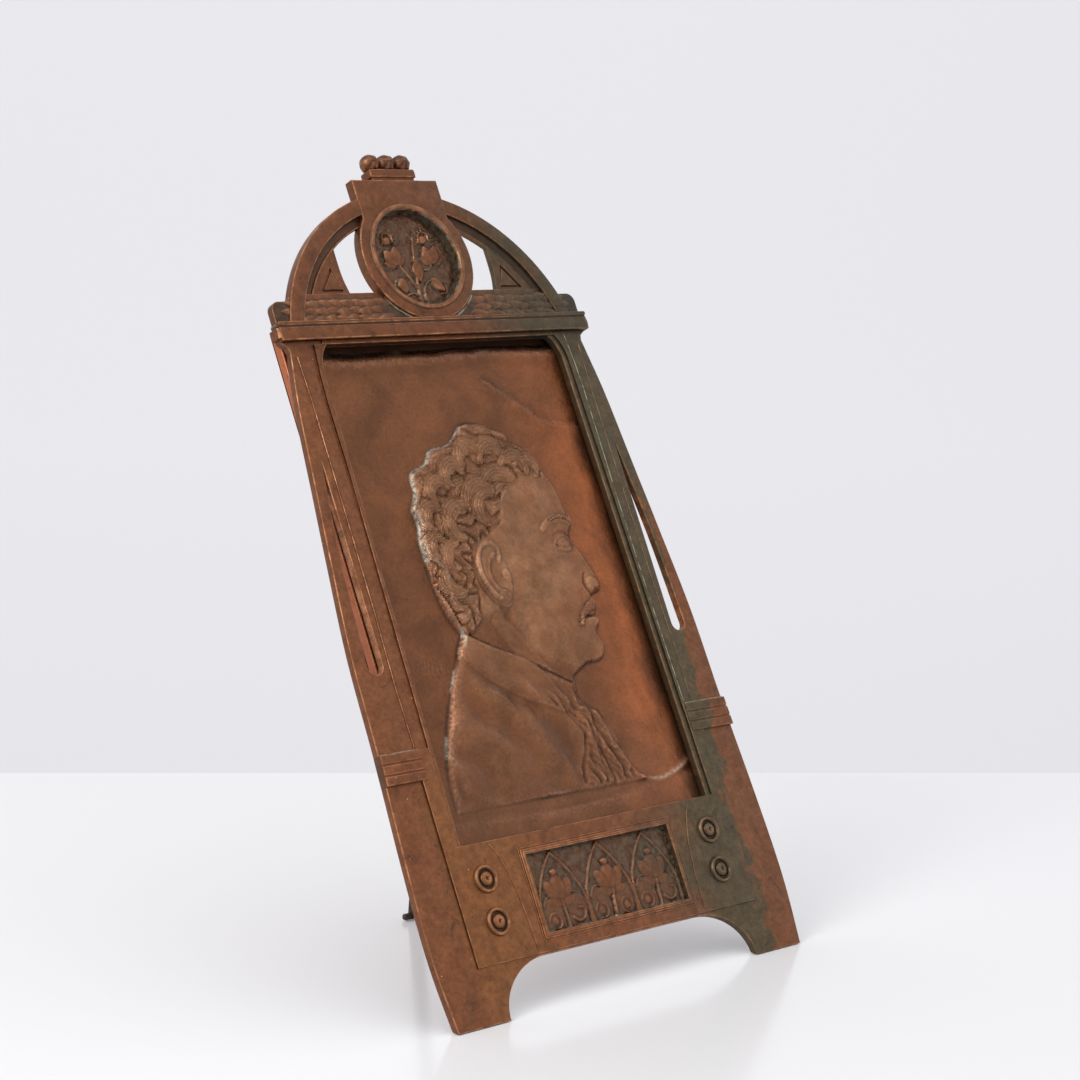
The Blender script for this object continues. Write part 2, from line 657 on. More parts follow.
def copperFinish():
    look, f = copperLook, Finish("reliefCopper")
    broad = f.noise(52, 2.0, 0.5)
    cloudy = f.noise(18, 4.0, 0.62, warp=0.5)
    fine = f.noise(1.4, 4.0, 0.7)
    warm = f.span(f.strayed(f.across, broad, 50.0), 14, 66)
    warm = f.times(warm, f.span(f.up, 262, 185, (0.35, 1.0)))
    base = f.blend(warm, look["brown"], look["orange"])
    standing = f.times(f.span(f.out, -3.4, -0.4), f.span(f.noise(8, 4.0, 0.6), 0.3, 0.7, (0.35, 1.0)))
    standing = f.times(standing, f.span(f.up, 112, 150, (0.3, 1.0)))
    base = f.blend(standing, base, look["head"])
    lowDown = f.times(f.span(f.up, 118, 78), 0.35)
    base = f.blend(lowDown, base, look["dust"])
    tonal = f.times(f.span(cloudy, 0.2, 0.8, (0.66, 1.22)), f.span(fine, 0.25, 0.75, (0.86, 1.14)))
    base = f.toned(base, tonal)
    base = f.blend(f.times(f.span(f.noise(6, 5.0, 0.75, warp=1.0), 0.55, 0.75), 0.3), base, look["soot"])
    # smoke lies beside the right-hand frame and under the top edge
    inward = f.strayed(f.across, f.noise(16, 3.0, 0.6, stretch=(1.0, 0.4, 1.0)), 26.0)
    smoke = f.times(f.span(inward, 56, 67), f.span(f.up, 262, 225))
    smoke = f.math("MAXIMUM", f.times(smoke, 0.75), f.times(f.span(f.up, 262.5, 265.5), 0.85))
    base = f.blend(smoke, base, look["soot"])
    base = f.blend(f.times(f.crevice, 0.85), base, look["soot"])
    rubbed = f.times(f.rub, f.span(fine, 0.35, 0.7, (0.05, 0.5)))
    base = f.blend(rubbed, base, look["bright"])
    specks = f.times(f.spots(4.6, 0.03, 0.06), f.span(cloudy, 0.5, 0.62))
    base = f.blend(f.times(specks, 0.7), base, look["bright"])
    powder = f.times(f.bloom, f.span(f.noise(1.6, 3.0, 0.7), 0.3, 0.62))
    base = f.blend(powder, base, look["bloom"])
    rough = f.span(cloudy, 0.25, 0.8, (0.22, 0.38))
    rough = f.math("MULTIPLY_ADD", powder, 0.25, rough)
    flow = f.node("ShaderNodeUVMap", uv_map="flow").outputs["UV"]
    strands = f.node("ShaderNodeTexWave", {"Vector": flow, "Scale": 0.55, "Distortion": 1.2, "Detail": 2.0,
                                           "Detail Scale": 0.6},
                     wave_type="BANDS", bands_direction="X").outputs["Fac"]
    haired = f.node("ShaderNodeAttribute", attribute_name="hair").outputs["Fac"]
    normal = f.bump(f.times(strands, haired), 0.00022)
    normal = f.bump(f.noise(7, 3.0, 0.6), 0.0005, normal)
    normal = f.bump(f.noise(0.8, 4.0, 0.7), 0.00016, normal)
    return f.done(base, rough, normal, look["metallic"])


def plainFinish(name, look, upright=False):
    f = Finish(name, upright)
    cloudy, fine = f.noise(12, 4.0, 0.6, warp=0.4), f.noise(1.8, 4.0, 0.7)
    base = f.blend(cloudy, look["one"], look["two"])
    base = f.blend(f.times(f.span(f.noise(5, 5.0, 0.7, warp=0.8), 0.54, 0.72), 0.5), base, look["dark"])
    base = f.blend(f.times(f.crevice, 0.8), base, look["dark"])
    if "lowDown" in look:
        base = f.blend(f.span(f.up, 250, 205, (0.0, look["lowDown"])), base, look["dark"])
        # the back is darker and less handled than the folded sides
        base = f.blend(f.times(f.span(f.out, -7.5, -8.1), f.span(cloudy, 0.2, 0.8, (0.3, 0.62))), base,
                       look["dark"])
    rubbed = f.times(f.rub, f.span(fine, 0.34, 0.66, (0.1, look["rubbed"])))
    base = f.blend(rubbed, base, look["bright"])
    rough = f.span(cloudy, 0.25, 0.75, look["rough"])
    normal = f.bump(f.noise(16, 2.0, 0.5), look["dent"])
    normal = f.bump(f.noise(0.7, 4.0, 0.7), 0.00004, normal)
    return f.done(base, rough, normal, look["metallic"])


trayLook = {"one": linear(190, 112, 76), "two": linear(160, 90, 58), "dark": linear(74, 46, 30),
            "bright": linear(226, 160, 122),
            "rubbed": 0.6, "rough": (0.34, 0.5), "dent": 0.0004, "metallic": 0.6, "lowDown": 0.05}
ironLook = {"one": linear(72, 60, 50), "two": linear(54, 46, 40), "dark": linear(30, 26, 23),
            "bright": linear(150, 116, 92),
            "rubbed": 0.45, "rough": (0.42, 0.6), "dent": 0.0002, "metallic": 0.5}
steelLook = {"one": linear(104, 98, 92), "two": linear(78, 72, 68), "dark": linear(40, 34, 30),
             "bright": linear(180, 174, 166),
             "rubbed": 0.6, "rough": (0.3, 0.46), "dent": 0.0001, "metallic": 0.85}
bronze, copper = bronzeFinish(), copperFinish()
trayCopper = plainFinish("trayCopper", trayLook)
darkBronze = plainFinish("darkBronze", ironLook)
strutBronze = plainFinish("strutBronze", ironLook, upright=True)
pinSteel = plainFinish("pinSteel", steelLook)
print("stage: finishes ready")


# Frame, drawn in layers from the plate out to the ornament.
casting = {
    "foot": {"innerHalf": 65.4, "outerHalf": 90.8, "archHeight": 20.4, "archStart": 40},
    "legEdge": [(92.7, 20), (93.2, 38), (92.4, 66), (90.6, 106), (89.6, 144), (86.2, 182), (83.2, 212),
                (80.4, 241), (77.6, 259), (76.4, 266)],
    "cornice": {"half": 80.6, "neckHalf": 77, "neck": 268.2, "bottom": 270.2, "top": 277.9, "front": 3.2,
                "fillet": 1.7},
    "laurel": {"half": 79.4, "top": 287.3, "front": 0.4, "round": 3.8, "pitch": 5.4, "length": 10.2,
               "width": 4.7, "rise": 0.85},
    "arch": {"centre": 258, "outer": 75.9, "rim": 69.2, "inner": 65.1, "front": 1.4, "spandrelEdge": 40.2,
             "sill": 290.2, "sunkCorners": [(41.2, 291.1), (53.0, 291.1), (44.6, 301.6)],
             "coreCorners": [(41.4, 292.0), (50.9, 292.0), (44.5, 299.9)]},
    "tablet": {"half": 22.2, "top": 339, "front": 1.6},
    "disc": {"centre": 304.9, "radius": 28, "ringOuter": 23.4, "ringInner": 21.0, "floor": -1.9},
    "finial": {"half": 11.8, "neckHalf": 10.9, "bottom": 338.8, "neckTop": 340.2, "top": 343.8,
               "depth": 6.6, "ball": 4.25, "pitch": 8.1, "ballCentre": 347.2, "middle": -1.4},
    "pane": {"topHalf": 62.8, "bottomHalf": 65.2, "bottom": 66.4, "top": 270.2, "cornerWidth": 9,
             "cornerHeight": 14, "rebate": 2.4},
    "slot": {"tip": (76.8, 221), "bottom": (80, 139.3), "radius": 3.6, "bow": 1.2},
    "strip": {"front": 0.8, "foot": 102, "shift": 1.2,
              "edge": [(65.6, 268.6), (66.8, 256), (67.2, 245), (66.6, 200), (66.8, 150), (67.4, 106)]},
    "line": {"points": [(73.9, 264), (73.2, 245), (73.1, 197), (73.2, 160), (73.8, 131), (73.4, 106)],
             "width": 0.5, "front": 0.5},
    "bands": {"tops": (105, 100.9, 96.8), "height": 3.6, "innerHalf": 70, "outset": 0.25, "front": 1.6,
              "ground": 1.1, "crosses": 6, "crossPitch": 3.0, "crossStart": 73.5,
              "crossHalf": (1.3, 0.14), "crossTurn": 0.72},
    "apron": {"half": 74.2, "bottom": 21.1, "front": 1.0},
    "panel": {"half": 39.5, "bottom": 25.6, "top": 60.5, "border": 2.2, "front": 1.9, "floor": -0.6,
              "bays": 3, "bay": 24.3},
    "rosette": {"across": 59.1, "heights": (52.6, 36.2)},
    "arcLine": [(53, 65.2), (50.3, 61), (48.8, 56.6), (47.4, 52), (46.4, 48), (45.7, 43), (45.1, 37),
                (44.6, 30), (44.2, 22.5)],
}


def legCurve():
    return spline([(casting["foot"]["outerHalf"], 0)] + casting["legEdge"], 60)


def legHalf(height):
    curve = legCurve()
    return float(np.interp(height, curve[:, 1], curve[:, 0]))


def paneHalf(height, margin):
    p = casting["pane"]
    straight = (p["bottom"], p["top"] - p["cornerHeight"])
    return np.interp(height, straight, (p["bottomHalf"], p["topHalf"])) + margin


def paneOutline(margin):
    p = casting["pane"]
    corner = arc(p["topHalf"] - p["cornerWidth"], p["top"] - p["cornerHeight"], p["cornerWidth"] + margin,
                 p["cornerHeight"] + margin, 0, 90, 14)
    return np.vstack([[(p["bottomHalf"] + margin, p["bottom"])], corner])


def slotOutline():
    s = casting["slot"]
    (tipX, tipY), (x, y), radius = s["tip"], s["bottom"], s["radius"]
    inner = spline([(tipX, tipY), ((tipX + x - radius) / 2, (tipY + y) / 2), (x - radius, y)], 14)
    outer = spline([(tipX, tipY), ((tipX + x + radius) / 2 + s["bow"], (tipY + y) / 2), (x + radius, y)],
                   14)[::-1]
    return np.vstack([inner, arc(x, y, radius, radius, 180, 360, 14)[1:-1], outer[:-1]])


def sweepArc(shell, section, centreY, start, stop, steps, whole=False):
    # Carries a closed section round a centre on the plate's middle line. Each row of the section is a radius,
    # a height and the rubbed, crevice and bloom marks of the face that starts there.
    angles = np.radians(np.linspace(start, stop, steps + (0 if whole else 1), endpoint=not whole))
    count, points, faces, wears = len(section), [], [], []
    for a in angles:
        points.extend((r * math.cos(a), centreY + r * math.sin(a), z) for r, z, *_ in section)
    for k in range(len(angles) if whole else len(angles) - 1):
        nxt = (k + 1) % len(angles)
        for i in range(count):
            j = (i + 1) % count
            faces.append([k * count + i, k * count + j, nxt * count + j, nxt * count + i])
            wears.append(section[i][2:])
    if not whole:
        faces.append(list(range(count))[::-1])
        faces.append([(len(angles) - 1) * count + i for i in range(count)])
        wears += [(0, 0, 0), (0, 0, 0)]
    shell.add(points, faces, wears)


def discBite(reach, height):
    # The round edge of what lies under the disc, from a height down to the middle line.
    centre = casting["disc"]["centre"]
    dip = math.degrees(math.asin((centre - height) / reach))
    return arc(0, centre, reach, reach, -dip, -90, 12)


def framePlate(shell):
    foot, cornice, laurel, panel, disc = (casting[k] for k in ("foot", "cornice", "laurel", "panel", "disc"))
    back = stance["plateBack"]
    end, corner = laurel["half"] - 0.15, laurel["round"]
    right = np.vstack([
        arc(foot["archStart"], 0, foot["innerHalf"] - foot["archStart"], foot["archHeight"], 90, 0, 18),
        legCurve(),
        [(cornice["neckHalf"], cornice["neck"]), (cornice["half"] - 0.75, cornice["bottom"]),
         (cornice["half"] - 0.75, cornice["top"] - 0.5)],
        [(end, cornice["top"])],
        arc(end - corner, laurel["top"] - 0.1 - corner, corner, corner, 0, 90, 8),
        discBite(disc["ringInner"] + 0.3, laurel["top"] - 0.1)])
    inner = panel["half"] - panel["border"] + 0.3
    low, high = panel["bottom"] + panel["border"] - 0.3, panel["top"] - panel["border"] + 0.3
    opening = [(-inner, low), (inner, low), (inner, high), (-inner, high)]
    holes = [bothSides(paneOutline(0)), slotOutline(), flip(slotOutline()), opening]
    slab(shell, bothSides(right), back, 0, holes, edge=0.4, backEdge=0.4, crevice=0.15)
    # the slots are rubbed bright inside
    for slot in (slotOutline(), flip(slotOutline())):
        slab(shell, inset(slot, -0.4), back + 0.3, -0.3, [inset(slot, 0.05)], edge=0.05, rub=0.5,
             sides=(1.0, 0, 0))
    low, high = laurel["top"] - 1.4, casting["arch"]["sill"]
    sill = np.array([(17.6, low), (72, low), (68.4, high), (17.6, high)])
    for outline in (sill, flip(sill)):
        slab(shell, outline, back + 0.25, -0.05, edge=0.3, backEdge=0.3, crevice=0.3)


def frameFields(shell):
    strip, apron, panel, pane = (casting[k] for k in ("strip", "apron", "panel", "pane"))
    margin = pane["rebate"]
    reveal = paneOutline(margin)
    reveal[0] = (paneHalf(strip["foot"], margin), strip["foot"])
    beside = lambda side: np.array([(side * x + strip["shift"], y) for x, y in strip["edge"]])
    right, left = beside(1)[::-1], beside(-1)
    right[0, 1] = left[-1, 1] = strip["foot"]
    slab(shell, np.vstack([right, left, np.array(bothSides(reveal))[::-1]]), -1, strip["front"], edge=0.3,
         crevice=0.8)
    for side in (1, -1):
        edge = beside(side)[::side]
        grime(shell, edge + (side * 0.25, 0), 0.5, 0.0, 0.8)
        if side > 0:
            grime(shell, edge - (0.35, 0), 0.45, strip["front"], 0.0, 1.0)
        points = (np.array(casting["line"]["points"]) * (side, 1))[::side]
        front = casting["line"]["front"] if side < 0 else 0.15
        slab(shell, ribbon(points, casting["line"]["width"]), -0.5, front, edge=0.3, crevice=0.6, rub=1.6,
             cap=(1.2, 0, 0))
        grime(shell, points - (side * 0.6, 0), 0.45, 0.0, 0.7, 0.05)
        arcLine = ribbon(casting["arcLine"] if side > 0 else flip(casting["arcLine"])[::-1], 0.7)
        slab(shell, arcLine, 0, apron["front"] + 0.35, edge=0.3, crevice=1.0, rub=0.55)
    half, low = apron["half"], apron["bottom"]
    top = casting["bands"]["tops"][0]
    innerTop = paneHalf(top, margin)
    shape = [(-half, low), (half, low), (half + 0.3, top), (innerTop, top),
             (pane["bottomHalf"] + margin, pane["bottom"]),
             (-pane["bottomHalf"] - margin, pane["bottom"]), (-innerTop, top), (-half - 0.3, top)]
    box = lambda reach: [(-panel["half"] - reach, panel["bottom"] - reach),
                         (panel["half"] + reach, panel["bottom"] - reach),
                         (panel["half"] + reach, panel["top"] + reach),
                         (-panel["half"] - reach, panel["top"] + reach)]
    slab(shell, shape, -1, apron["front"], [box(0.15 - panel["border"])], edge=0.3, crevice=0.9, rub=0.8)
    slab(shell, box(0), 0.2, panel["front"] - 0.35, [box(0.1 - panel["border"])], edge=0.4, crevice=1.0,
         bloom=0.05, rub=0.75)
    slab(shell, box(-0.9), stance["plateBack"] + 0.2, panel["front"], [box(-panel["border"])], edge=0.45,
         crevice=0.45, bloom=0.12, rub=0.8)
    slab(shell, box(0.75), 0.2, apron["front"] + 0.28, [box(0.3)], edge=0.2, crevice=1.0, rub=0.5)


def frameBands(shell):
    b = casting["bands"]
    cross = Shell()
    long, thick = b["crossHalf"]
    for turn in (b["crossTurn"], -b["crossTurn"]):
        bar = np.array([(-long, -thick), (long, -thick), (long, thick), (-long, thick)])
        spun = bar @ np.array([(math.cos(turn), math.sin(turn)), (-math.sin(turn), math.cos(turn))])
        slab(cross, spun, b["front"] - 0.1, b["front"] + 0.12, edge=0.08, crevice=0.7, rub=0.2, steps=1)
    back = stance["plateBack"]

    def clasp(side, top, low, out):
        inner = side * b["innerHalf"] - 2
        return np.array([(inner, low), (side * (legHalf(low) + out), low),
                         (side * (legHalf(top) + out), top), (inner, top)])

    for side in (1, -1):
        ground = clasp(side, b["tops"][0] - 0.5, b["tops"][2] - b["height"] + 0.5, b["outset"] / 2)
        slab(shell, ground, back + 0.1, b["ground"], edge=0.3, backEdge=0.4, crevice=0.5, rub=0.2)
        for number, top in enumerate(b["tops"]):
            low = top - b["height"]
            slab(shell, clasp(side, top, low, b["outset"]), back + 0.3, b["front"], edge=0.5, backEdge=0.5,
                 crevice=0.6, rub=0.55)
            if number == 1:
                start, step = (side * b["crossStart"], (low + top) / 2, 0), (side * b["crossPitch"], 0, 0)
                rowOf(shell, cross, bronze, b["crosses"], start, step, strayTurn=0.12, straySize=0.08,
                      seed=5 + side)
        # pale dirt lies along the top of the clasp and at its inner end
        inner, high, low = side * b["innerHalf"], b["tops"][0], b["tops"][2] - b["height"]
        grime(shell, [(inner - 1.6, high + 0.2), (side * legHalf(high), high + 0.2)], 0.55, 0.3, 0.0, 1.0)
        end = inner - 2.2 - 0.2 * side
        grime(shell, [(end, high + 0.4), (end, low)], 0.5, 0.8, 0.3, 0.55)


def frameCornice(shell):
    c, back = casting["cornice"], stance["plateBack"]
    low, top, half, front = c["bottom"], c["top"], c["half"], c["front"]
    ends = lambda pull, a, b: bothSides([(half - pull - 0.4, a), (half - pull, (a + b) / 2),
                                         (half - pull - 0.5, b)])
    slab(shell, ends(0.5, low, top), back + 0.15, front - 0.9, edge=0.5, backEdge=0.4, crevice=0.3)
    slab(shell, ends(0.0, low, top - c["fillet"] - 0.4), back + 0.6, front - 0.35, edge=0.5, backEdge=0.4,
         crevice=0.0, rub=1.0)
    slab(shell, ends(0.1, top - c["fillet"], top), back + 0.5, front, edge=0.5, backEdge=0.4, crevice=0.5,
         bloom=0.2, rub=0.7)
    # dirt under the fillet and along the foot of the laurel
    grime(shell, [(-half + 1, top - c["fillet"] - 0.3), (half - 1, top - c["fillet"] - 0.3)], 0.7,
          front - 0.33)
    for side in (1, -1):
        grime(shell, [(side * 14, top + 0.3), (side * (half - 13), top + 0.3)], 0.6,
              casting["laurel"]["front"] + 0.3, 0.5, 0.5)
        # the ends are worn bright
        end = side * (half - 0.4)
        bright = np.array([(end - 1.6, low + 0.9), (end, low + 0.9), (end, top - 2.6),
                           (end - 1.6, top - 2.6)])
        slab(shell, bright, back + 1, front - 0.28, edge=0.6, rub=2.2, crevice=0, cap=(1.6, 0, 0))


def leafShell(length, width, rise):
    leaf, along, across = Shell(), 8, 6
    points = []
    for i in range(along + 1):
        t = i / along
        half = width / 2 * math.sin(math.pi * min(t ** 0.85, 1)) ** 0.8 + 0.02
        for j in range(across + 1):
            s = j / across * 2 - 1
            crest = (1 - abs(s) ** 2.6) * (0.35 + 0.65 * t) + 0.16 * math.exp(-(s / 0.2) ** 2)
            points.append((t * length, s * half, rise * crest * min(1, 8 * t, 12 * (1 - t) + 0.02)))
    row = across + 1
    faces = [[i * row + j, (i + 1) * row + j, (i + 1) * row + j + 1, i * row + j + 1] for i in range(along)
             for j in range(across)]
    marks = [(0.0, 1.0, 0.1) if j in (0, across - 1) else (0.2 + 0.3 * (i > 4), 0.5 * (i < 3), 0.0)
             for i in range(along) for j in range(across)]
    rim = list(range(row)) + [i * row + across for i in range(1, along + 1)]
    rim += [along * row + j for j in range(across - 1, -1, -1)] + [i * row for i in range(along - 1, 0, -1)]
    faces.append(rim[::-1])
    marks.append((0, 0, 0))
    leaf.add(points, faces, marks)
    return leaf


def frameLaurel(shell):
    l, disc, back = casting["laurel"], casting["disc"], stance["plateBack"]
    low, high, half, corner = casting["cornice"]["top"] - 0.6, l["top"], l["half"], l["round"]
    shoulder = arc(half - corner, high - corner, corner, corner, 0, 90, 8)
    outline = bothSides(np.vstack([[(half, low)], shoulder, discBite(disc["ringInner"] + 0.6, high)]))
    slab(shell, outline, back + 0.2, l["front"], edge=0.35, backEdge=0.4, crevice=0.4, rub=0.6,
         cap=(0, 0.8, 0.05))
    for side in (1, -1):
        reach = disc["radius"] + 0.7
        seam = arc(0, disc["centre"], reach, reach, -90 + side * 20, -90 + side * 53, 16)
        grime(shell, seam, 0.9, l["front"] + 0.25, 0.5, 0.6)
    leaf, middle = leafShell(l["length"], l["width"], l["rise"]), (casting["cornice"]["top"] + high) / 2 - 0.1
    count = int((half - 27) / l["pitch"])
    for side in (1, -1):
        for number, (rise, turn, shift) in enumerate(((-2.5, -8, 0), (2.5, 8, 1.1), (0, 0, 3.2))):
            start = (side * (19.6 + shift), middle + rise, l["front"] - 0.1 + 0.05 * number)
            facing = math.radians(turn) if side > 0 else math.radians(180 - turn)
            rowOf(shell, leaf, bronze, count, start, (side * l["pitch"], 0, 0), facing, 0.09, 0.1,
                  seed=21 + number)


def frameArch(shell):
    a, laurelTop, back = casting["arch"], casting["laurel"]["top"], stance["plateBack"]
    centre, outer, rim, inner, front = a["centre"], a["outer"], a["rim"], a["inner"], a["front"]
    start = lambda radius, height: math.degrees(math.asin((height - centre) / radius))
    for flipSide in (False, True):
        turn = (lambda x: (180 - x[1], 180 - x[0])) if flipSide else (lambda x: x)
        # the rim runs down over the laurel to the cornice
        low, high = turn((start(outer, casting["cornice"]["top"] - 0.5), 74.3))
        section = [
            (outer, back + 0.4, 0, 0.1, 0), (outer, front - 0.4, 1, 0, 0),
            (outer - 0.12, front - 0.12, 1, 0, 0),
            (outer - 0.4, front, 0, 0, 0), (rim + 0.4, front, 1, 0, 0), (rim + 0.12, front - 0.12, 1, 0, 0),
            (rim, front - 0.4, 0, 0.8, 0), (rim, back + 0.1, 0, 0, 0), (outer - 0.4, back + 0.1, 0, 0, 0)]
        sweepArc(shell, section, centre, low, high, 40)
        low, high = turn((start(rim, laurelTop - 1.2), 76))
        section = [
            (rim + 0.2, back + 0.3, 0, 0, 0), (rim + 0.2, -0.1, 0, 1, 0), (rim - 0.5, -0.75, 0, 0.7, 0),
            (rim - 1.8, -1.05, 0, 0.5, 0), (inner + 1.0, -1.05, 0, 1, 0), (inner + 0.75, -0.55, 0.5, 0, 0.1),
            (inner + 0.35, -0.4, 0.5, 0, 0), (inner, -0.7, 0, 0, 0), (inner, back + 0.6, 0, 0, 0),
            (inner + 0.3, back + 0.3, 0, 0, 0)]
        sweepArc(shell, section, centre, low, high, 36)
        reach = inner + 0.9
        sill, edge = a["sill"] - 0.4, a["spandrelEdge"]
        first, last = start(reach, sill), math.degrees(math.acos(edge / reach))
        left = spline([(38.4, sill), (40, 298), (edge, centre + math.sqrt(reach ** 2 - edge ** 2))], 10)
        outline = np.vstack([arc(0, centre, reach, reach, first, last, 12), left[::-1]])
        sunk, core = np.array(a["sunkCorners"]), np.array(a["coreCorners"])
        mirror = flip if flipSide else (lambda points: points)
        slab(shell, mirror(outline), back + 0.2, -1.3, edge=0.05, backEdge=0.3, crevice=0.0, rub=0)
        slab(shell, mirror(outline), -1.5, -0.5, [mirror(sunk)], edge=0.16, crevice=0.9, bloom=0.15, rub=0.45)
        slab(shell, mirror(core), -1.5, -0.35, edge=0.3, crevice=0.9, bloom=0.15, rub=0.5)


# The plant in the disc, in millimetres from its centre. A stem is points, width, rise and taper, and a head a
# place and a lean. Petals stand round each head: heading, length, width and rise.
discPlant = {
    "stems": (
        ([(-2, -20), (-2.2, -15), (-1.4, -9), (0.2, 1), (2.9, 11.5)], 1.5, 1.0, 0.5),
        ([(0.8, -20), (0.6, -15), (3, -10.6), (8, -9.2), (12.4, -11.6), (12.0, -15.2), (9.2, -15.4)], 1.3,
         0.95, 0.2),
        ([(-1.8, -14), (-4.6, -9), (-6.4, -6), (-8.6, -2.6)], 1.2, 0.9, 0.2),
        ([(-2, -16.5), (-6, -15.0), (-10.4, -16.4), (-13.6, -13.2), (-12.6, -9.4)], 1.1, 0.7, 0.4),
        ([(0, -8), (3, -5), (6.2, -4.6), (9.2, -1.6)], 1.1, 0.8, 0.3)),
    "heads": ((-11.4, 1.4, 10), (7.6, 1.9, -6)),
    "petals": ((160, 6.6, 4.2, 1.1), (118, 8.4, 6.6, 1.9), (78, 8.4, 6.8, 2.0), (34, 6.8, 4.4, 1.1)),
    "stamens": 11, "firstStamen": 22, "stamenStep": 13.6, "stamenFoot": 4.4, "stamenTips": (8.6, 8.6 + 1.6),
    "leaves": ((0.6, -0.4, -94, 9.8, 6.0, 1.9), (5.8, -8.4, -48, 8.2, 5.2, 1.7)),
    "bud": (-9.4, -11.4, 2.7, 3.6, 6), "budRise": 1.7}


def flowerHead(x, y, headX, headY, lean):
    p = discPlant
    parts = [leafBump(x, y, headX + 1.8, headY - 4.2, heading + lean, length, width, rise, 0.1)
             for heading, length, width, rise in p["petals"]]
    for number in range(p["stamens"]):
        a = math.radians(p["firstStamen"] + p["stamenStep"] * number + lean)
        near, far = p["stamenFoot"], p["stamenTips"][number % 2]
        stamen = [(headX + reach * math.cos(a), headY + 2.4 + reach * math.sin(a)) for reach in (near, far)]
        parts.append(ridge(x, y, stamen, 0.75, 0.6, 0.4))
    hood = [(headX - 3, headY + 5.4), (headX - 1.4, headY + 9.6), (headX + 2.4, headY + 9.2),
            (headX + 2.6, headY + 6.4)]
    parts.append(ridge(x, y, spline(hood, 16), 0.9, 1.3))
    parts.append(1.8 * dome(x, y, headX - 0.4, headY + 6.6, 2.3, 2.0))
    parts.append(ridge(x, y, [(headX + 1, headY + 14), (headX + 5.5, headY + 8.5)], 0.45, 0.5, 0.3))
    return parts


def medallionHeights(x, y):
    d, p = casting["disc"], discPlant
    y = y - d["centre"]
    turn, radius = np.arctan2(y, x), np.hypot(x, y)
    low = 0.16 * softNoise(x, y, 4.0, 3)
    low += 0.12 * softNoise(turn * 9, radius * 0.35, 0.6, 4) * smooth(radius, 3, 14)
    low += 0.13 * softNoise(x, y, 1.0, 8) - 0.3 * smooth(radius, 17.5, 20.5)
    parts = [np.zeros_like(x), p["budRise"] * dome(x, y, *p["bud"])]
    parts += [ridge(x, y, spline(points, 16), *form) for points, *form in p["stems"]]
    parts += [leafBump(x, y, *leaf) for leaf in p["leaves"]]
    for head in p["heads"]:
        parts += flowerHead(x, y, *head)
    high = np.maximum.reduce(parts)
    return d["floor"] + low * (1 - 0.6 * smooth(high, 0.1, 0.5)) + high


def frameMedallion(shell):
    t, d, back = casting["tablet"], casting["disc"], stance["plateBack"]
    side = math.degrees(math.acos(t["half"] / d["radius"]))
    outline = bothSides(np.vstack([arc(0, d["centre"], d["radius"], d["radius"], -90, side, 40),
                                   [(t["half"], t["top"])]]))
    well = arc(0, d["centre"], d["ringInner"] + 0.1, d["ringInner"] + 0.1, 0, 360, 96)[:-1]
    slab(shell, outline, back + 0.12, t["front"], [well], edge=0.6, backEdge=0.4, crevice=0.12, rub=0.9)
    # one plain skin closes the back of the disc and the tablet
    slab(shell, inset(outline, 0.35), back - 0.02, back + 0.3, edge=0.05, backEdge=0.12, crevice=0.0, rub=0)
    outer, inner = d["ringOuter"], d["ringInner"]
    section = [
        (outer + 0.3, 1.3, 0, 1, 0.2), (outer + 0.05, 1.6, 0, 0.6, 0.1), (outer - 0.12, 1.95, 0.2, 0.1, 0),
        (outer - 0.5, 2.25, 0.9, 0, 0), (outer - 0.95, 2.35, 0.5, 0, 0), (inner + 0.5, 2.15, 0.6, 0, 0.2),
        (inner + 0.12, 1.6, 0, 0.2, 0.6), (inner, 0.6, 0, 0.7, 0.2), (inner, -2.4, 0, 0, 0),
        (outer - 0.2, -2.4, 0, 0, 0)]
    sweepArc(shell, section, d["centre"], 0, 360, 120, whole=True)
    rings, spokes = 68, 240
    radii = np.linspace(0, d["ringInner"] + 0.2, rings + 1)[1:]
    turns = np.linspace(0, 2 * math.pi, spokes, endpoint=False)
    gr, gt = np.meshgrid(radii, turns, indexing="ij")
    gx, gy = gr * np.cos(gt), d["centre"] + gr * np.sin(gt)
    heights = medallionHeights(gx, gy)
    wide = np.concatenate([heights] * 3, 1)
    rub, crevice = (wear[:, spokes:2 * spokes] for wear in wearOf(wide, 3, 2.6))
    rimShade = smooth(gr, 18.6, 20.6)
    dark = np.clip(crevice + 0.42 + rimShade * 0.4, 0, 1) * (1 - smooth(heights, -1.5, -0.7))
    pale = (0.05 + 0.16 * crevice + 0.12 * smooth(gr, 20.0, 20.9)) * (1 - smooth(heights, -1.4, -0.9))
    middle = medallionHeights(np.zeros((1, 1)), np.full((1, 1), d["centre"]))
    points = [(0, d["centre"], float(middle[0, 0]))]
    points += np.stack([gx, gy, heights], -1).reshape(-1, 3).tolist()
    marks = [(0, 0, 0)] + np.stack([rub * 0.8, dark, pale], -1).reshape(-1, 3).tolist()
    ring = lambda k, i: 1 + k * spokes + i % spokes
    faces = [[0, ring(0, i), ring(0, i + 1)] for i in range(spokes)]
    faces += [[ring(k, i), ring(k + 1, i), ring(k + 1, i + 1), ring(k, i + 1)] for k in range(rings - 1)
              for i in range(spokes)]
    base = len(points)
    points += [(gx[-1, i], gy[-1, i], back + 0.15) for i in range(spokes)]
    marks += [(0, 0, 0)] * spokes
    faces += [[ring(rings - 1, i), base + i, base + (i + 1) % spokes, ring(rings - 1, i + 1)]
              for i in range(spokes)]
    faces.append([base + i for i in range(spokes)][::-1])
    shell.add(points, faces, marks, perPoint=True)


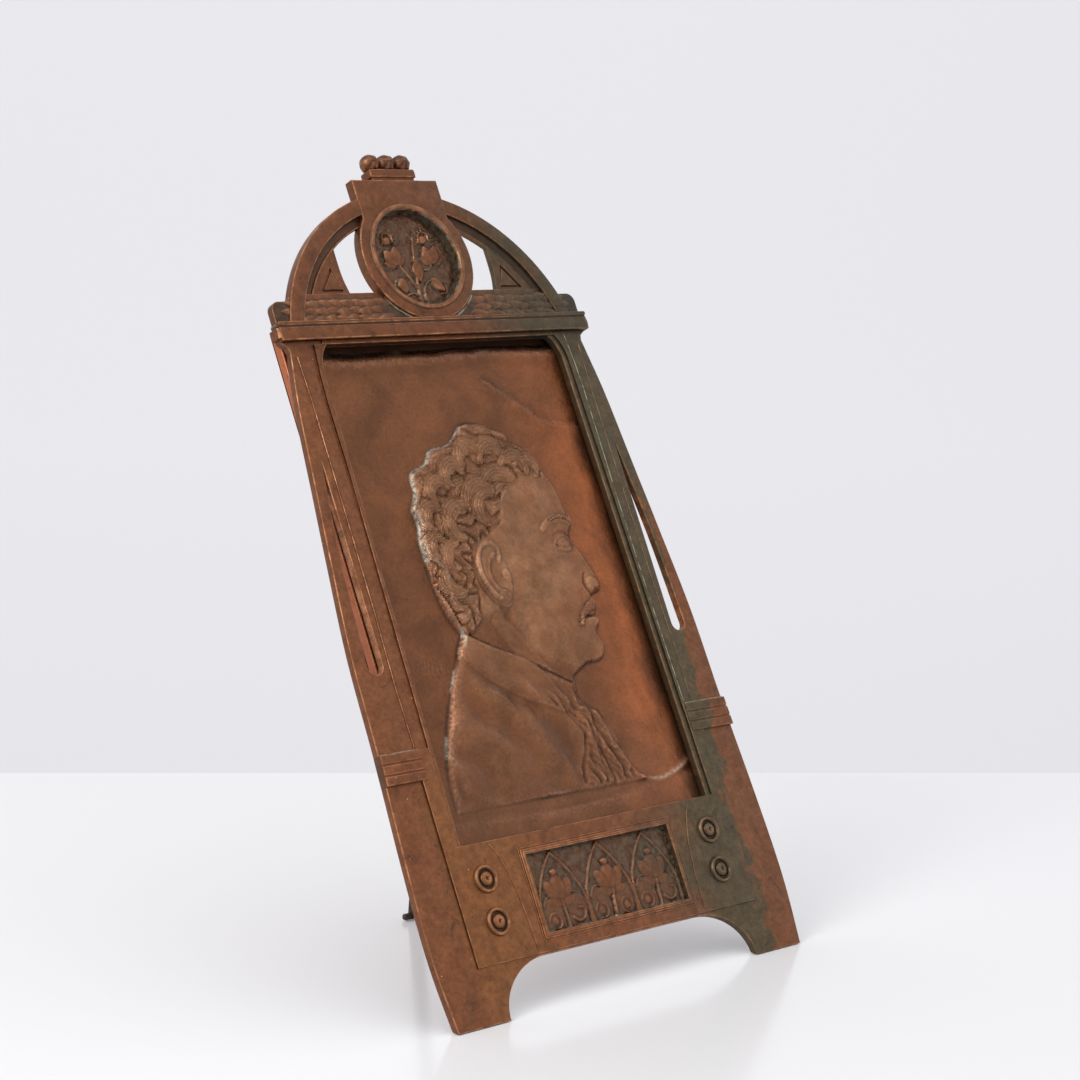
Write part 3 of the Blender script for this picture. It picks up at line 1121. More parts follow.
def frameFinial(shell):
    f = casting["finial"]
    middle, half, neck, depth = f["middle"], f["half"], f["neckHalf"], f["depth"] / 2
    stem = bothSides([(neck, f["bottom"]), (neck, f["neckTop"] + 0.4)])
    slab(shell, stem, middle - depth + 0.8, middle + depth - 0.8, edge=0.3, backEdge=0.3, crevice=0.6,
         rub=0.4)
    base = bothSides([(half - 0.25, f["neckTop"]), (half, f["neckTop"] + 0.4), (half - 0.1, f["top"] - 0.5),
                      (half - 0.5, f["top"])])
    slab(shell, base, middle - depth, middle + depth, edge=0.5, backEdge=0.5, crevice=0.1, rub=0.8)
    spokes, rings = 40, 24
    for number, step in enumerate((-1, 0, 1)):
        lat = np.linspace(-math.pi / 2, math.pi / 2, rings + 1)[1:-1]
        lon = np.linspace(0, 2 * math.pi, spokes, endpoint=False)
        gl, gt = np.meshgrid(lat, lon, indexing="ij")
        ux, uy, uz = np.cos(gl) * np.cos(gt), np.sin(gl), -np.cos(gl) * np.sin(gt)
        lumps = 0.5 * softNoise(ux * 4 + uz * 2 + number * 9, uy * 4, 1.7, 31 + number)
        lumps += 0.5 * np.sin(6.5 * np.arctan2(uy, ux) + 3.4 * uz)
        radius, across, up = f["ball"] * (0.95 + 0.05 * lumps), step * f["pitch"], f["ballCentre"]
        points = np.stack([across + radius * ux, up + radius * uy, middle + radius * uz], -1).reshape(-1,
            3).tolist()
        marks = np.stack([np.clip(lumps, 0, 1) * 0.7, np.clip(-lumps * 1.3, 0, 1), 0 * lumps],
                         -1).reshape(-1, 3).tolist()
        ring = lambda k, i: k * spokes + i % spokes
        faces = [[ring(k, i), ring(k, i + 1), ring(k + 1, i + 1), ring(k + 1, i)] for k in range(rings - 2)
                 for i in range(spokes)]
        south, north = len(points), len(points) + 1
        points += [(across, up - f["ball"] * 0.95, middle), (across, up + f["ball"] * 0.95, middle)]
        marks += [(0, 0, 0), (0, 0, 0)]
        faces += [[south, ring(0, i + 1), ring(0, i)] for i in range(spokes)]
        faces += [[north, ring(rings - 2, i), ring(rings - 2, i + 1)] for i in range(spokes)]
        shell.add(points, faces, marks, perPoint=True)


# The flower in each bay of the panel. A petal is a place from the foot, half width, half height, rise and
# turn, and a leaf a heading, length, width, rise and vein.
bayPlant = {
    "leans": (-0.6, 1.6, 0.8), "foot": 9.6, "stem": (1.35, 1.15), "springing": 11, "shrink": 0.78,
    "petals": ((0, 6.4, 3.6, 5.2, 1.7, 0), (4.0, 5.6, 2.7, 4.6, 1.45, -30), (-4.0, 5.6, 2.7, 4.6, 1.45, 30)),
    "leaves": ((14, 7.6, 4.2, 1.0, 0.05), (166, 7.6, 4.2, 1.0, 0.05)),
    "stamens": 5, "firstStamen": 54, "stamenStep": 18, "stamenReach": ((7.5, 10.0), (10, 13.0)),
    "leafEdge": [(1.0, 8.5), (2.8, 12.2), (7.0, 13.4), (10.6, 9.5)],
    "scroll": [(2.6, 3.6), (5.2, 1.8), (8.4, 3.0), (8.8, 6.2), (6.4, 7.0)]}


def archBay(x, y, number):
    p, b = casting["panel"], bayPlant
    base = p["bottom"] + p["border"]
    middle = (number - (p["bays"] - 1) / 2) * p["bay"]
    springing, parts = base + b["springing"], []
    for side in (-1, 1):
        foot = middle + side * (p["bay"] / 2 - 0.6)
        rise = [(foot, base - 0.5), (foot, springing), (middle + side * 8.0, springing + 8.5),
                (middle + side * 3.9, springing + 14.5), (middle, p["top"] - p["border"] - 0.8)]
        parts.append(ridge(x, y, spline(rise, 24), 1.2, 0.95))
        # a broad rounded leaf on each side of the stem, with a bud or a curl at its foot
        leaf = np.clip(1 - oval(x, y, middle + side * 5.9, base + 5.4, 5.3, 7.6, -side * 8) ** 2, 0, 1)
        parts.append(0.62 * leaf ** 0.45 * smooth(y, base - 6, base + 6))
        if side < 0 or number == 1:
            curlX, curlY = middle + side * 6.6, base + 3.6
            parts.append(1.5 * dome(x, y, curlX, curlY, 1.7, 1.8))
            parts.append(ridge(x, y, arc(curlX, curlY, 3.0, 3.1, 90 - side * 80, 90 + side * 200, 20), 1.1,
                               1.1, 0.3))
        else:
            scroll = [(middle + out, base + up) for out, up in b["scroll"]]
            parts.append(ridge(x, y, spline(scroll, 16), 1.7, 1.4, 0.3))
        edge = [(middle + side * out, base + up) for out, up in b["leafEdge"]]
        parts.append(ridge(x, y, spline(edge, 16), 0.8, 0.75, 0.3))
    footX, footY = middle + b["leans"][number], base + b["foot"]
    for out, up, wide, tall, high, turn in b["petals"]:
        parts.append(high * dome(x, y, footX + out, footY + up, wide, tall, turn))
    parts += [leafBump(x, y, footX, footY, *leaf) for leaf in b["leaves"]]
    for stamen in range(b["stamens"]):
        a = math.radians(b["firstStamen"] + b["stamenStep"] * stamen)
        (nearX, nearY), (farX, farY) = b["stamenReach"]
        ends = [(footX + nearX * math.cos(a), footY + nearY * math.sin(a)),
                (footX + farX * math.cos(a), footY + farY * math.sin(a))]
        parts.append(ridge(x, y, ends, 0.7, 0.45, 0.4))
    parts.append(1.9 * dome(x, y, footX - 0.4, footY + 12.4, 1.7, 1.5))
    stem = [(middle, base - 0.5), (middle + b["leans"][number] * 0.4, base + 5), (footX, footY + 1)]
    parts.append(ridge(x, y, stem, *b["stem"]))
    return parts


def panelHeights(x, y):
    p = casting["panel"]
    low = 0.10 * softNoise(x, y, 3.0, 41) + 0.07 * softNoise(x, y, 0.9, 42)
    parts = [np.zeros_like(x)]
    for number in range(p["bays"]):
        parts += archBay(x, y, number)
    high = np.maximum.reduce(parts) * bayPlant["shrink"]
    reach, foot, head = p["half"] - p["border"], p["bottom"] + p["border"], p["top"] - p["border"]
    edge = np.minimum.reduce([x + reach, reach - x, y - foot, head - y])
    low -= 0.12 * (1 - smooth(edge, 0.2, 2.0))
    return p["floor"] + low * (1 - 0.6 * smooth(high, 0.1, 0.5)) + high


def framePanel(shell):
    p = casting["panel"]
    under = p["border"] - 0.4
    half, low, top = p["half"] - under, p["bottom"] + under, p["top"] - under
    xs, ys = np.linspace(-half, half, 212), np.linspace(low, top, 88)
    gx, gy = np.meshgrid(xs, ys)
    heights = panelHeights(gx, gy)
    rub, crevice = wearOf(heights, 3, 2.0)
    edge = np.minimum.reduce([gx + half, half - gx, gy - low, top - gy])
    lowEdge = 1 - smooth(np.minimum(gy - low, half - gx), 0.3, 1.5)
    flat = 1 - smooth(heights, -0.4, 0.1)
    dark = np.clip(crevice + 0.5 * flat + 0.14 + 0.3 * (1 - smooth(edge, 0.4, 1.8)), 0, 1)
    marks = np.stack([rub * 0.55, dark, (0.6 * lowEdge + 0.1) * flat], -1)
    gridSheet(shell, xs, ys, heights, stance["plateBack"], marks)


def frameRosettes(shell):
    r, front = casting["rosette"], casting["apron"]["front"]
    button = Shell()
    rise = [(0, 0.9, 0, 1, 0), (0.5, 1.0, 0.3, 0.4, 0), (0.9, 1.5, 0.9, 0, 0), (1.6, 1.62, 0.4, 0, 0),
            (2.3, 1.3, 0, 0.3, 0), (2.75, 0.7, 0, 1, 0), (3.0, 0.25, 0, 1, 0), (3.5, 0.2, 0, 1, 0),
            (3.85, 0.75, 0.2, 0.3, 0), (4.35, 1.3, 0.9, 0, 0), (4.85, 1.35, 0.8, 0, 0),
            (5.3, 0.95, 0, 0.4, 0), (5.55, 0.25, 0, 1, 0.2), (5.6, -0.5, 0, 0, 0)]
    turned(button, [(radius, height + front, *wear) for radius, height, *wear in rise], 40)
    step = r["heights"][1] - r["heights"][0]
    for side in (1, -1):
        rowOf(shell, button, bronze, 2, (side * r["across"], r["heights"][0], 0), (0, step, 0))


def frameStrokes(shell):
    stroke = Shell()
    slab(stroke, [(-0.16, -0.9), (0.16, -0.9), (0.16, 0.9), (-0.16, 0.9)], -0.1, 0.14, edge=0.06,
         crevice=1.0, rub=0.0, steps=1)
    rowOf(shell, stroke, bronze, 6, (-72.6, 17.2, 0), (1.05, -0.12, 0), strayTurn=0.55, straySize=0.3, seed=3)
    rowOf(shell, stroke, bronze, 3, (-51.2, 26.4, casting["apron"]["front"]), (0.9, -1.1, 0), strayTurn=0.6,
          straySize=0.3, seed=9)


def buildFrame():
    shell = Shell()
    for make in (framePlate, frameFields, frameBands, frameCornice, frameLaurel, frameArch, frameMedallion,
                 frameFinial, framePanel, frameRosettes, frameStrokes):
        make(shell)
    mesh = shell.toMesh("frame_casting", plateToWorld)
    # the soles are cut level: what would lie under the table slides up the plate to it
    places = np.empty(len(mesh.vertices) * 3, np.float32)
    mesh.vertices.foreach_get("co", places)
    places = places.reshape(-1, 3)
    under = np.minimum(places[:, 2], 0)
    places[:, 1] -= under * sinLean / cosLean
    places[:, 2] -= under
    mesh.vertices.foreach_set("co", places.ravel())
    mesh.update()
    return pieceFrom(mesh, "frame_casting", bronze, "stand", ["frame"])


frameCasting = buildFrame()
print("stage: frame cast,", len(frameCasting.data.polygons), "faces")


# Relief sheet. Heights are millimetres out of the frame's front face, worked out over a grid that is
# finest round the head.
relief = {
    "half": 75, "bottom": 60, "top": 267, "back": -6.9, "face": -4.5,
    "fineAcross": (-47, 52), "fineUp": (74, 236), "fineStep": 0.53, "looseStep": 0.85,
    "chin": 130, "headRise": 3.5, "coatRise": 2.4, "modelling": 1.55, "curlCentre": (-8, 172), "seed": 7,
    "ledge": ((-60, -47, -34, -11, 5, 27, 40, 48, 60),
              (76.6, 76.3, 75.9, 73.6, 73.7, 75.3, 77.2, 77.3, 79.4)),
    "ledgeShade": ((-62, -30, -8, 10, 26, 70), (1, 0.8, 0.25, 0.2, 0.6, 0.8)),
    "scroll": [(38, 79.6), (44, 78.0), (50, 78.0), (60, 80.6), (66, 83.5)],
    "crease": [(22, 250), (27, 245.6), (38, 237.8), (45, 232.6), (61, 229.8)],
    "rollUp": 262.0, "strokes": 7, "strokeStart": (-57.2, 138.4), "strokePitch": 1.75, "strokeSeed": 12}

# The head is 98 mm from chin to crown; its places are millimetres forward of its axis and up from the chin.
profile = [(33, 84), (38.3, 74), (40.4, 63), (41.2, 57), (39.2, 51.5), (42.4, 43), (47, 32), (45.6, 28),
           (40, 26), (41, 21), (39.6, 18), (40.4, 14.6), (37.4, 10.6), (39, 4.6), (35.4, -0.4), (27, -1.4),
           (19, -6)]
skull = [(-27, 140), (-36, 156), (-38, 180), (-30, 206), (-8, 224), (14, 225), (33, 214)]
coatBack = [(-30, 147.5), (-33, 142), (-40, 134), (-48.5, 118), (-54.5, 104), (-58, 92), (-59, 79)]
coatFront = [(40, 78.6), (35, 84), (31, 92), (29.4, 98.5), (26, 107), (18, 115), (17, 122)]


def axisSteps(low, high, fineLow, fineHigh, fine, loose):
    parts = [np.linspace(low, fineLow, max(2, round((fineLow - low) / loose)), endpoint=False),
             np.linspace(fineLow, fineHigh, round((fineHigh - fineLow) / fine), endpoint=False),
             np.linspace(fineHigh, high, max(2, round((high - fineHigh) / loose)) + 1)]
    return np.concatenate(parts)


def windowed(xs, ys, line, reach):
    # The part of the grid near a line, so that small forms are only worked out where they are.
    line = np.array(line, float)
    i0, i1 = np.searchsorted(xs, (line[:, 0].min() - reach, line[:, 0].max() + reach))
    j0, j1 = np.searchsorted(ys, (line[:, 1].min() - reach, line[:, 1].max() + reach))
    return slice(j0, max(j1, j0 + 1)), slice(i0, max(i1, i0 + 1))


def softMax(a, b, reach):
    t = np.clip(0.5 + 0.5 * (a - b) / reach, 0, 1)
    return b + (a - b) * t + reach * t * (1 - t)


hairOutside = [
    (-30.5, 147), (-35, 160), (-37.4, 168), (-37.9, 176), (-38.0, 186), (-36.6, 193), (-37.6, 200),
    (-33.6, 206.5), (-33.2, 213.4), (-28, 216.4), (-24.2, 217.6), (-20, 223), (-13.4, 224.2), (-9, 225.4),
    (-5.2, 228.4), (-2, 232.6), (4, 233.6), (10, 232.6), (13.4, 230.6), (19.6, 228.6), (22.4, 224.6),
    (26, 222.6), (31, 219.4), (33.4, 213.4), (31.8, 207.4)]
hairInside = [(-27, 146), (-20, 152), (-17.6, 160), (-17.2, 172), (-13.5, 181), (-6, 184), (-1.5, 187),
              (3.5, 190), (6.5, 197), (13, 204), (22, 208)]
# each curl: foot across and up, heading, length, width and how far each step bends
curls = [
    (31, 206, 80, 21, 7.6, 9), (25, 211, 104, 20, 8.4, 9), (14, 217, 108, 20, 8.6, 10),
    (2, 220, 120, 19, 9.0, 11), (-9, 214, 132, 19, 9.0, 11), (-19, 208, 140, 18, 8.6, 11),
    (-27, 199, 160, 19, 8.4, 11), (-30, 187, 176, 17, 8.0, 11), (17, 205, 128, 24, 8.6, 7),
    (3, 205, 150, 22, 9.0, 8), (-12, 199, 168, 22, 9.0, 8), (-24, 184, 200, 20, 8.4, 8),
    (8, 197, 96, 18, 7.4, -8), (-4, 191, 170, 19, 8.0, -9), (-18, 186, 200, 17, 7.6, -9),
    (-31, 174, 226, 14, 6.8, 9), (-26, 164, 240, 14, 6.4, -8), (-33, 165, 250, 13, 5.8, 8),
    (-27, 156, 262, 11, 5.2, -7)]


def hairCurls():
    # The middle line and the width of each curl that stands out of the waves.
    rng, made, steps = np.random.default_rng(relief["seed"]), [], 18
    for x, y, heading, length, width, bend in curls:
        path, turn = [(x, y)], math.radians(heading - 20)
        for _ in range(steps):
            turn += math.radians(bend + rng.uniform(-2, 2))
            x, y = x + math.cos(turn) * length / steps, y + math.sin(turn) * length / steps
            path.append((x, y))
        made.append((path, width))
    return made


def addHair(xs, ys, gx, gy, heights, marks, flow):
    cap, inner = spline(hairOutside, 110), spline(hairInside, 40)
    into = depthIn(gx, gy, np.vstack([cap, inner[::-1]]))
    bed = relief["face"] + relief["headRise"]
    free = np.where(into > 0, toLine(gx, gy, cap)[0], 0)
    roll = np.sqrt(np.clip(1 - (1 - np.clip(free / 3.6, 0, 1)) ** 2, 0, 1))
    # waves run round the ear: a broad swell for each lock, fine strands riding on it
    fromX, fromY = gx - relief["curlCentre"][0], gy - relief["curlCentre"][1]
    radius, around = np.hypot(fromX, fromY), np.arctan2(fromY, fromX)
    travel = np.unwrap(around - math.pi * 2 * (around < -2.2)) * 34
    sway = 2.7 * np.sin(2 * math.pi * (travel / 20 + 0.30 * softNoise(gx, gy, 15, 61)))
    sway += 2.2 * softNoise(gx, gy, 11, 62)
    across = radius + sway
    lock = across / 6.6 + 0.35 * softNoise(gx, gy, 17, 63)
    ramp = lock - np.floor(lock)
    swell = np.sin(math.pi * ramp ** 0.7) ** 0.8
    fine = np.cos(2 * math.pi * (across / 1.45 + 0.5 * softNoise(gx, gy, 5, 64)))
    tall = bed - 0.85 + 1.05 * swell + 0.12 * fine * smooth(swell, 0.1, 0.6)
    flow[..., 0] = np.where(into > 0, across, flow[..., 0])
    for path, width in hairCurls():
        part = windowed(xs, ys, path, width)
        distance, along, side = toLine(gx[part], gy[part], path)
        half = width / 2 * (0.42 + 0.68 * np.sin(math.pi * np.clip(along * 0.88 + 0.1, 0, 1)))
        s = np.clip(distance / half, 0, 1.5)
        body = np.where(s < 1, np.cos(s * math.pi / 2) ** 0.9, 0)
        strand = 0.13 * np.cos(2 * math.pi * side / 1.5 + 1.6 * np.sin(4 * along) + gx[part] * 0.3)
        strand *= np.minimum(body * 1.6, 1)
        swelling = 1.25 * body * (0.75 + 0.25 * np.sin(math.pi * along))
        height = bed - 0.35 + swelling + 0.3 * np.clip(side / half, -1, 1) + strand
        old = tall[part]
        top = (s < 1) & (height > old)
        tall[part] = np.where(s < 1, softMax(height, old, 0.45), old)
        flow[part][..., 0] = np.where(top, side, flow[part][..., 0])
        flow[part][..., 1] = np.where(top, along * 8, flow[part][..., 1])
    hairy = into > 0
    full = relief["face"] + (tall - relief["face"]) * roll
    edge = smooth(into, 0, 2.2)
    share = edge + (1 - edge) * smooth(toLine(gx, gy, inner)[0] - free, 0, 2)
    heights[:] = np.where(hairy, np.maximum(heights * (1 - share) + full * share, relief["face"]), heights)
    marks[..., 3] = np.maximum(marks[..., 3], smooth(into, 0.2, 1.8))


def addFace(gx, gy, heights, marks, flow):
    y0 = relief["chin"]
    x, y = gx, gy - y0
    front = spline([(a, b + y0) for a, b in profile], 90)
    outline = np.vstack([front, [(18, 104), (-24, 104)], spline(skull, 40)])
    into = depthIn(gx, gy, outline)
    roll = np.sqrt(np.clip(1 - (1 - np.clip(into / 2.4, 0, 1)) ** 2, 0, 1))
    form = relief["headRise"] * (0.74 * roll + 0.26 * (1 - np.exp(-np.clip(into, 0, 40) / 9)))
    mass = form.copy()
    soft = lambda a, b, c, d, turn=0: np.exp(-oval(x, y, a, b, c, d, turn))
    line = lambda points, width, depth, taper=0.0: ridge(x, y, spline(points, 18), width, depth, taper)
    cut = lambda points, width, depth: groove(x, y, spline(points, 18), width, depth)
    # broad planes
    form += 0.42 * soft(21, 37, 12, 8, 20) + 0.20 * soft(28, 70, 11, 10) - 0.34 * soft(17, 60, 7,
        9) - 0.36 * soft(17, 20, 9, 9)
    form += 0.26 * soft(34, 4.5, 6, 5) - 0.22 * soft(37, 10.6, 4, 2.2)
    # brow, socket, eye
    form += line([(41.6, 57.0), (38, 58.8), (32.5, 59.6), (27, 58.0), (23.5, 55.4)], 4.4, 0.42, 0.4)
    form -= 0.62 * soft(35, 51, 6.6, 4.2, 8) + 0.25 * soft(39.3, 50.5, 2.2, 4)
    form += 0.66 * dome(x, y, 33.2, 48.6, 4.1, 3.2)
    form += line([(37.8, 49.4), (36.2, 51.5), (32.8, 52.2), (29.4, 50.6), (27.2, 48.2)], 1.5, 0.30, 0.3)
    form += line([(37.2, 47.2), (34.6, 45.7), (31.0, 45.8), (27.8, 47.6)], 1.2, 0.22, 0.3)
    form -= cut([(38.2, 51.2), (36, 53.4), (32.4, 54.1), (28.6, 52.6)], 1.1, 0.22)
    form -= cut([(37.2, 48.6), (34.5, 47.2), (31.4, 47.1), (29, 48.2)], 0.9, 0.16)
    form -= 0.14 * soft(32, 42.8, 6, 1.6, -6)
    # nose
    form += 0.30 * soft(42.5, 40, 3.4, 9, -18) + 0.50 * dome(x, y, 41.4, 30.6, 3.5, 3.1)
    form -= cut([(38.4, 35.2), (37.3, 32), (37.7, 28.9), (39.4, 27.0)], 1.3, 0.42)
    form -= 0.55 * soft(42.9, 28.2, 1.7, 0.8, -8)
    # mouth, chin and cheek folds
    form -= cut([(40.4, 18.1), (37.2, 17.7), (34.2, 17.5), (31.6, 16.9)], 1.1, 0.5)
    form += 0.34 * dome(x, y, 36.6, 15.1, 4.6, 1.9, 3) - cut([(37, 33), (34.4, 27), (33.2, 21.5)], 2.6, 0.14)
    # jaw over the neck
    jaw = np.vstack([spline([(-4, 27), (-2, 15), (4, 6.5), (14, 0.6), (25, -2.2), (30, -2.6)], 24),
                     [(24, -30), (-40, -30), (-34, 20), (-14, 27)]])
    under = np.clip(depthIn(x, y, jaw), 0, 50)
    form -= 0.95 * smooth(under, 0, 5.5) + 0.25 * smooth(under, 5, 16)
    form += 0.42 * line([(-12, 20), (-4, 6), (7, -8), (14, -18)], 8.0, 1.0)
    form += 0.20 * soft(-4, 60, 16, 16)
    form += 0.22 * soft(12, 33, 8, 14, 14) - 0.20 * soft(2, 34, 5, 14, 8)
    form += 0.10 * softNoise(x, y, 9, 91) + 0.05 * softNoise(x, y, 3.5, 92)
    form = np.where(into > 0, mass + relief["modelling"] * (form - mass), 0)
    heights[:] = np.maximum(heights, relief["face"] + form)
    # brow hair and moustache
    for path, width, lift, pitch in (([(41.4, 57.2), (37.6, 59.2), (32.5, 60.0), (27.2, 58.4)], 2.6, 0.5,
                                      0.9),
                                     ([(41.9, 23.4), (38.4, 22.2), (34.2, 20.4), (30.4, 17.4),
                                       (29.0, 14.6)], 5.8, 1.1, 0.9)):
        distance, along, side = toLine(x, y, spline(path, 20))
        half = width / 2 * (1.0 - 0.62 * along)
        hair = (distance < half) & (into > -0.4)
        slant = side * 0.9 + along * 14
        crest = lift * np.sqrt(np.clip(1 - (distance / half) ** 2, 0, 1)) + 0.14 * np.sin(slant * 2
            * math.pi / (2 * pitch))
        heights[:] = np.where(hair, heights + crest, heights)
        flow[..., 0] = np.where(hair, slant, flow[..., 0])
        marks[..., 3] = np.where(hair, 1.0, marks[..., 3])


def addEar(gx, gy, heights):
    x, y = gx, gy
    cx, cy, tilt = -8.2, 169.5, 9
    line = lambda points, width, depth, taper=0.0: ridge(x, y, spline(points, 24), width, depth, taper)
    reach = oval(x, y, cx, cy, 7.2, 12.6, tilt)
    top = relief["face"] + relief["headRise"] + 0.55
    shellTop = top - 0.25 + 0.25 * np.sqrt(np.clip(1 - reach, 0, 1))
    heights[:] = np.maximum(heights, np.where(reach < 1, shellTop, -99))
    bowl = 1.15 * np.exp(-oval(x, y, cx + 1.0, cy - 0.5, 3.4, 5.6, tilt) ** 1.5)
    heights -= np.where(reach < 1, bowl, 0)
    heights += line([(-4.6, 174.4), (-3.4, 178.6), (-6.2, 182.0), (-10.8, 181.4), (-14.6, 176.5),
                     (-15.0, 169.6), (-12.6, 163.0), (-9.2, 158.8)], 2.2, 0.85, 0.2)
    heights += line([(-6.4, 177.2), (-9.4, 174.6), (-10.9, 169.6), (-9.2, 163.6), (-6.0, 161.6)], 1.8, 0.5,
                    0.2)
    heights += 0.7 * dome(x, y, -2.6, 168.0, 1.9, 3.0, 12)
    heights += 0.75 * dome(x, y, -6.6, 158.6, 3.5, 3.6)
    heights -= groove(x, y, spline([(-16.9, 177), (-17.0, 168), (-14.0, 160.5), (-9.5, 155.2)], 20), 2.0,
                      0.45)


def folds(value, pitch):
    # waves of a wandering length
    return np.sin(2 * math.pi * (value / pitch + 0.12 * np.sin(2 * math.pi * value / (pitch * 2.7))))


def addDress(gx, gy, heights):
    x, y = gx, gy
    coat = np.vstack([spline(coatBack, 40), spline(coatFront, 30)])
    into = depthIn(x, y, coat)
    roll = np.sqrt(np.clip(1 - (1 - np.clip(into / 3.6, 0, 1)) ** 2, 0, 1))
    fade = 1 - 0.55 * smooth(y, 104, 80)
    rumple = 0.35 * softNoise(x, y, 19, 71) + 0.18 * softNoise(x, y, 7, 72)
    cloth = relief["face"] + (relief["coatRise"] * roll + rumple) * fade
    line = lambda points, width, depth, taper=0.0: ridge(x, y, spline(points, 24), width, depth, taper)
    heights[:] = np.where(into > 0, np.maximum(cloth, np.where(y > 118, heights - 0.9, -99)), heights)
    # the turned collar stands over the neck, with the lapel under it
    collar = np.array([(-31, 147.5), (-19, 140.8), (-5.2, 134.8), (2.0, 129.0), (6.8, 122.6), (11.4, 113.4),
                       (6.3, 109.6), (-1, 112.5), (-11, 117.5), (-22, 123.5), (-31.5, 131), (-36.5, 138.5)])
    over = depthIn(x, y, spline(np.vstack([collar, collar[:1]]), 60)[:-1])
    collarTop = relief["face"] + 2.15 + 0.75 * smooth(over, 0, 1.5) + 0.25 * softNoise(x, y, 11, 73)
    heights[:] = np.where(over > 0, np.maximum(heights, collarTop), heights)
    lapel = np.array([(-33, 133), (-22, 123), (-11, 117.5), (0, 112.2), (6.3, 109.6), (10.8, 104),
                      (11.4, 97), (9.4, 90), (7.6, 84), (2.4, 89), (-3.8, 94.2), (-7.4, 97.6), (-5.4, 103),
                      (-13, 108), (-26, 118)])
    folded = depthIn(x, y, lapel)
    lapelTop = relief["face"] + 1.65 + 0.7 * smooth(folded, 0, 2.2) * fade + 0.3 * softNoise(x, y, 9, 74)
    heights[:] = np.where(folded > 0, np.maximum(heights, lapelTop), heights)
    for opening, width, depth in (
            ([(9.6, 110.2), (14.6, 103.4), (12.4, 96.2), (9.6, 88.6), (8.6, 82)], 1.9, 0.8),
            ([(18.8, 109), (20.4, 101.5), (20.6, 94), (22.8, 85), (23.4, 79)], 1.8, 0.7)):
        heights -= np.where(into > -1, groove(x, y, spline(opening, 24), width, depth), 0)
    # knotted cravat and the crumpled shirt front
    heights += 0.75 * dome(x, y, 16.2, 107.6, 4.6, 3.6, -28)
    heights += line([(15, 104), (16.6, 97), (16.2, 90), (17.8, 82)], 4.0, 0.6, 0.3)
    heights += line([(24, 108), (26.4, 100.5), (28, 93), (31.6, 85)], 5.0, 0.7, 0.2)
    beyond = toLine(x, y, spline([(4, 112), (12, 100), (10, 84)], 16))[2]
    front = smooth(beyond, -1, 3) * smooth(into, 0, 2.5) * smooth(y, 122, 114)
    pleat = x * 0.95 + y * 0.34 + 2.0 * softNoise(x, y, 8, 75) + 0.9 * softNoise(x, y, 3.4, 76)
    heights += front * (0.42 * folds(pleat, 5.2) + 0.16 * folds(pleat + 0.4 * y, 2.3))
    # broad soft creases over the back and the sleeve
    drape = x * 0.62 + y * 0.42 + 6.5 * softNoise(x, y, 22, 77) + 2.4 * softNoise(x, y, 8, 78)
    cover = smooth(into, 0, 5) * (1 - front) * smooth(y, 134, 120)
    heights += cover * (0.62 * folds(drape, 15) + 0.22 * softNoise(x, y, 5, 79))
    for fold in ([(-46, 112), (-30, 104), (-16, 90), (-12, 80)], [(-26, 120), (-14, 108), (-6, 92)],
                 [(29, 97), (33.5, 88), (39, 81)]):
        distance = toLine(x, y, spline(fold, 24))[0]
        heights += np.where(into > 0, 0.7 * np.exp(-(distance / 4.2) ** 2), 0)


# pale lines along the outline, each with its width and strength
paleLines = [
    ([(-37.4, 199), (-33.8, 206), (-33.2, 213.2), (-28, 216.2), (-24, 217.6), (-20, 222.8), (-13.4, 224)],
     0.9, 1.0),
    ([(-13, 224.2), (-9, 225.4), (-5, 228.6), (-2, 232.2)], 0.6, 0.8),
    ([(-37.8, 178), (-37.8, 187), (-36.4, 193), (-37.2, 199)], 1.1, 0.75),
    ([(-31.2, 149.6), (-31.4, 146.4), (-33.2, 142.6)], 0.9, 1.0),
    ([(-40.4, 133.8), (-44.8, 126)], 0.7, 0.5),
    ([(-53.6, 108.4), (-56, 101)], 1.0, 0.6),
    ([(-35.6, 178), (-32, 172), (-33.6, 168)], 0.7, 0.5)]


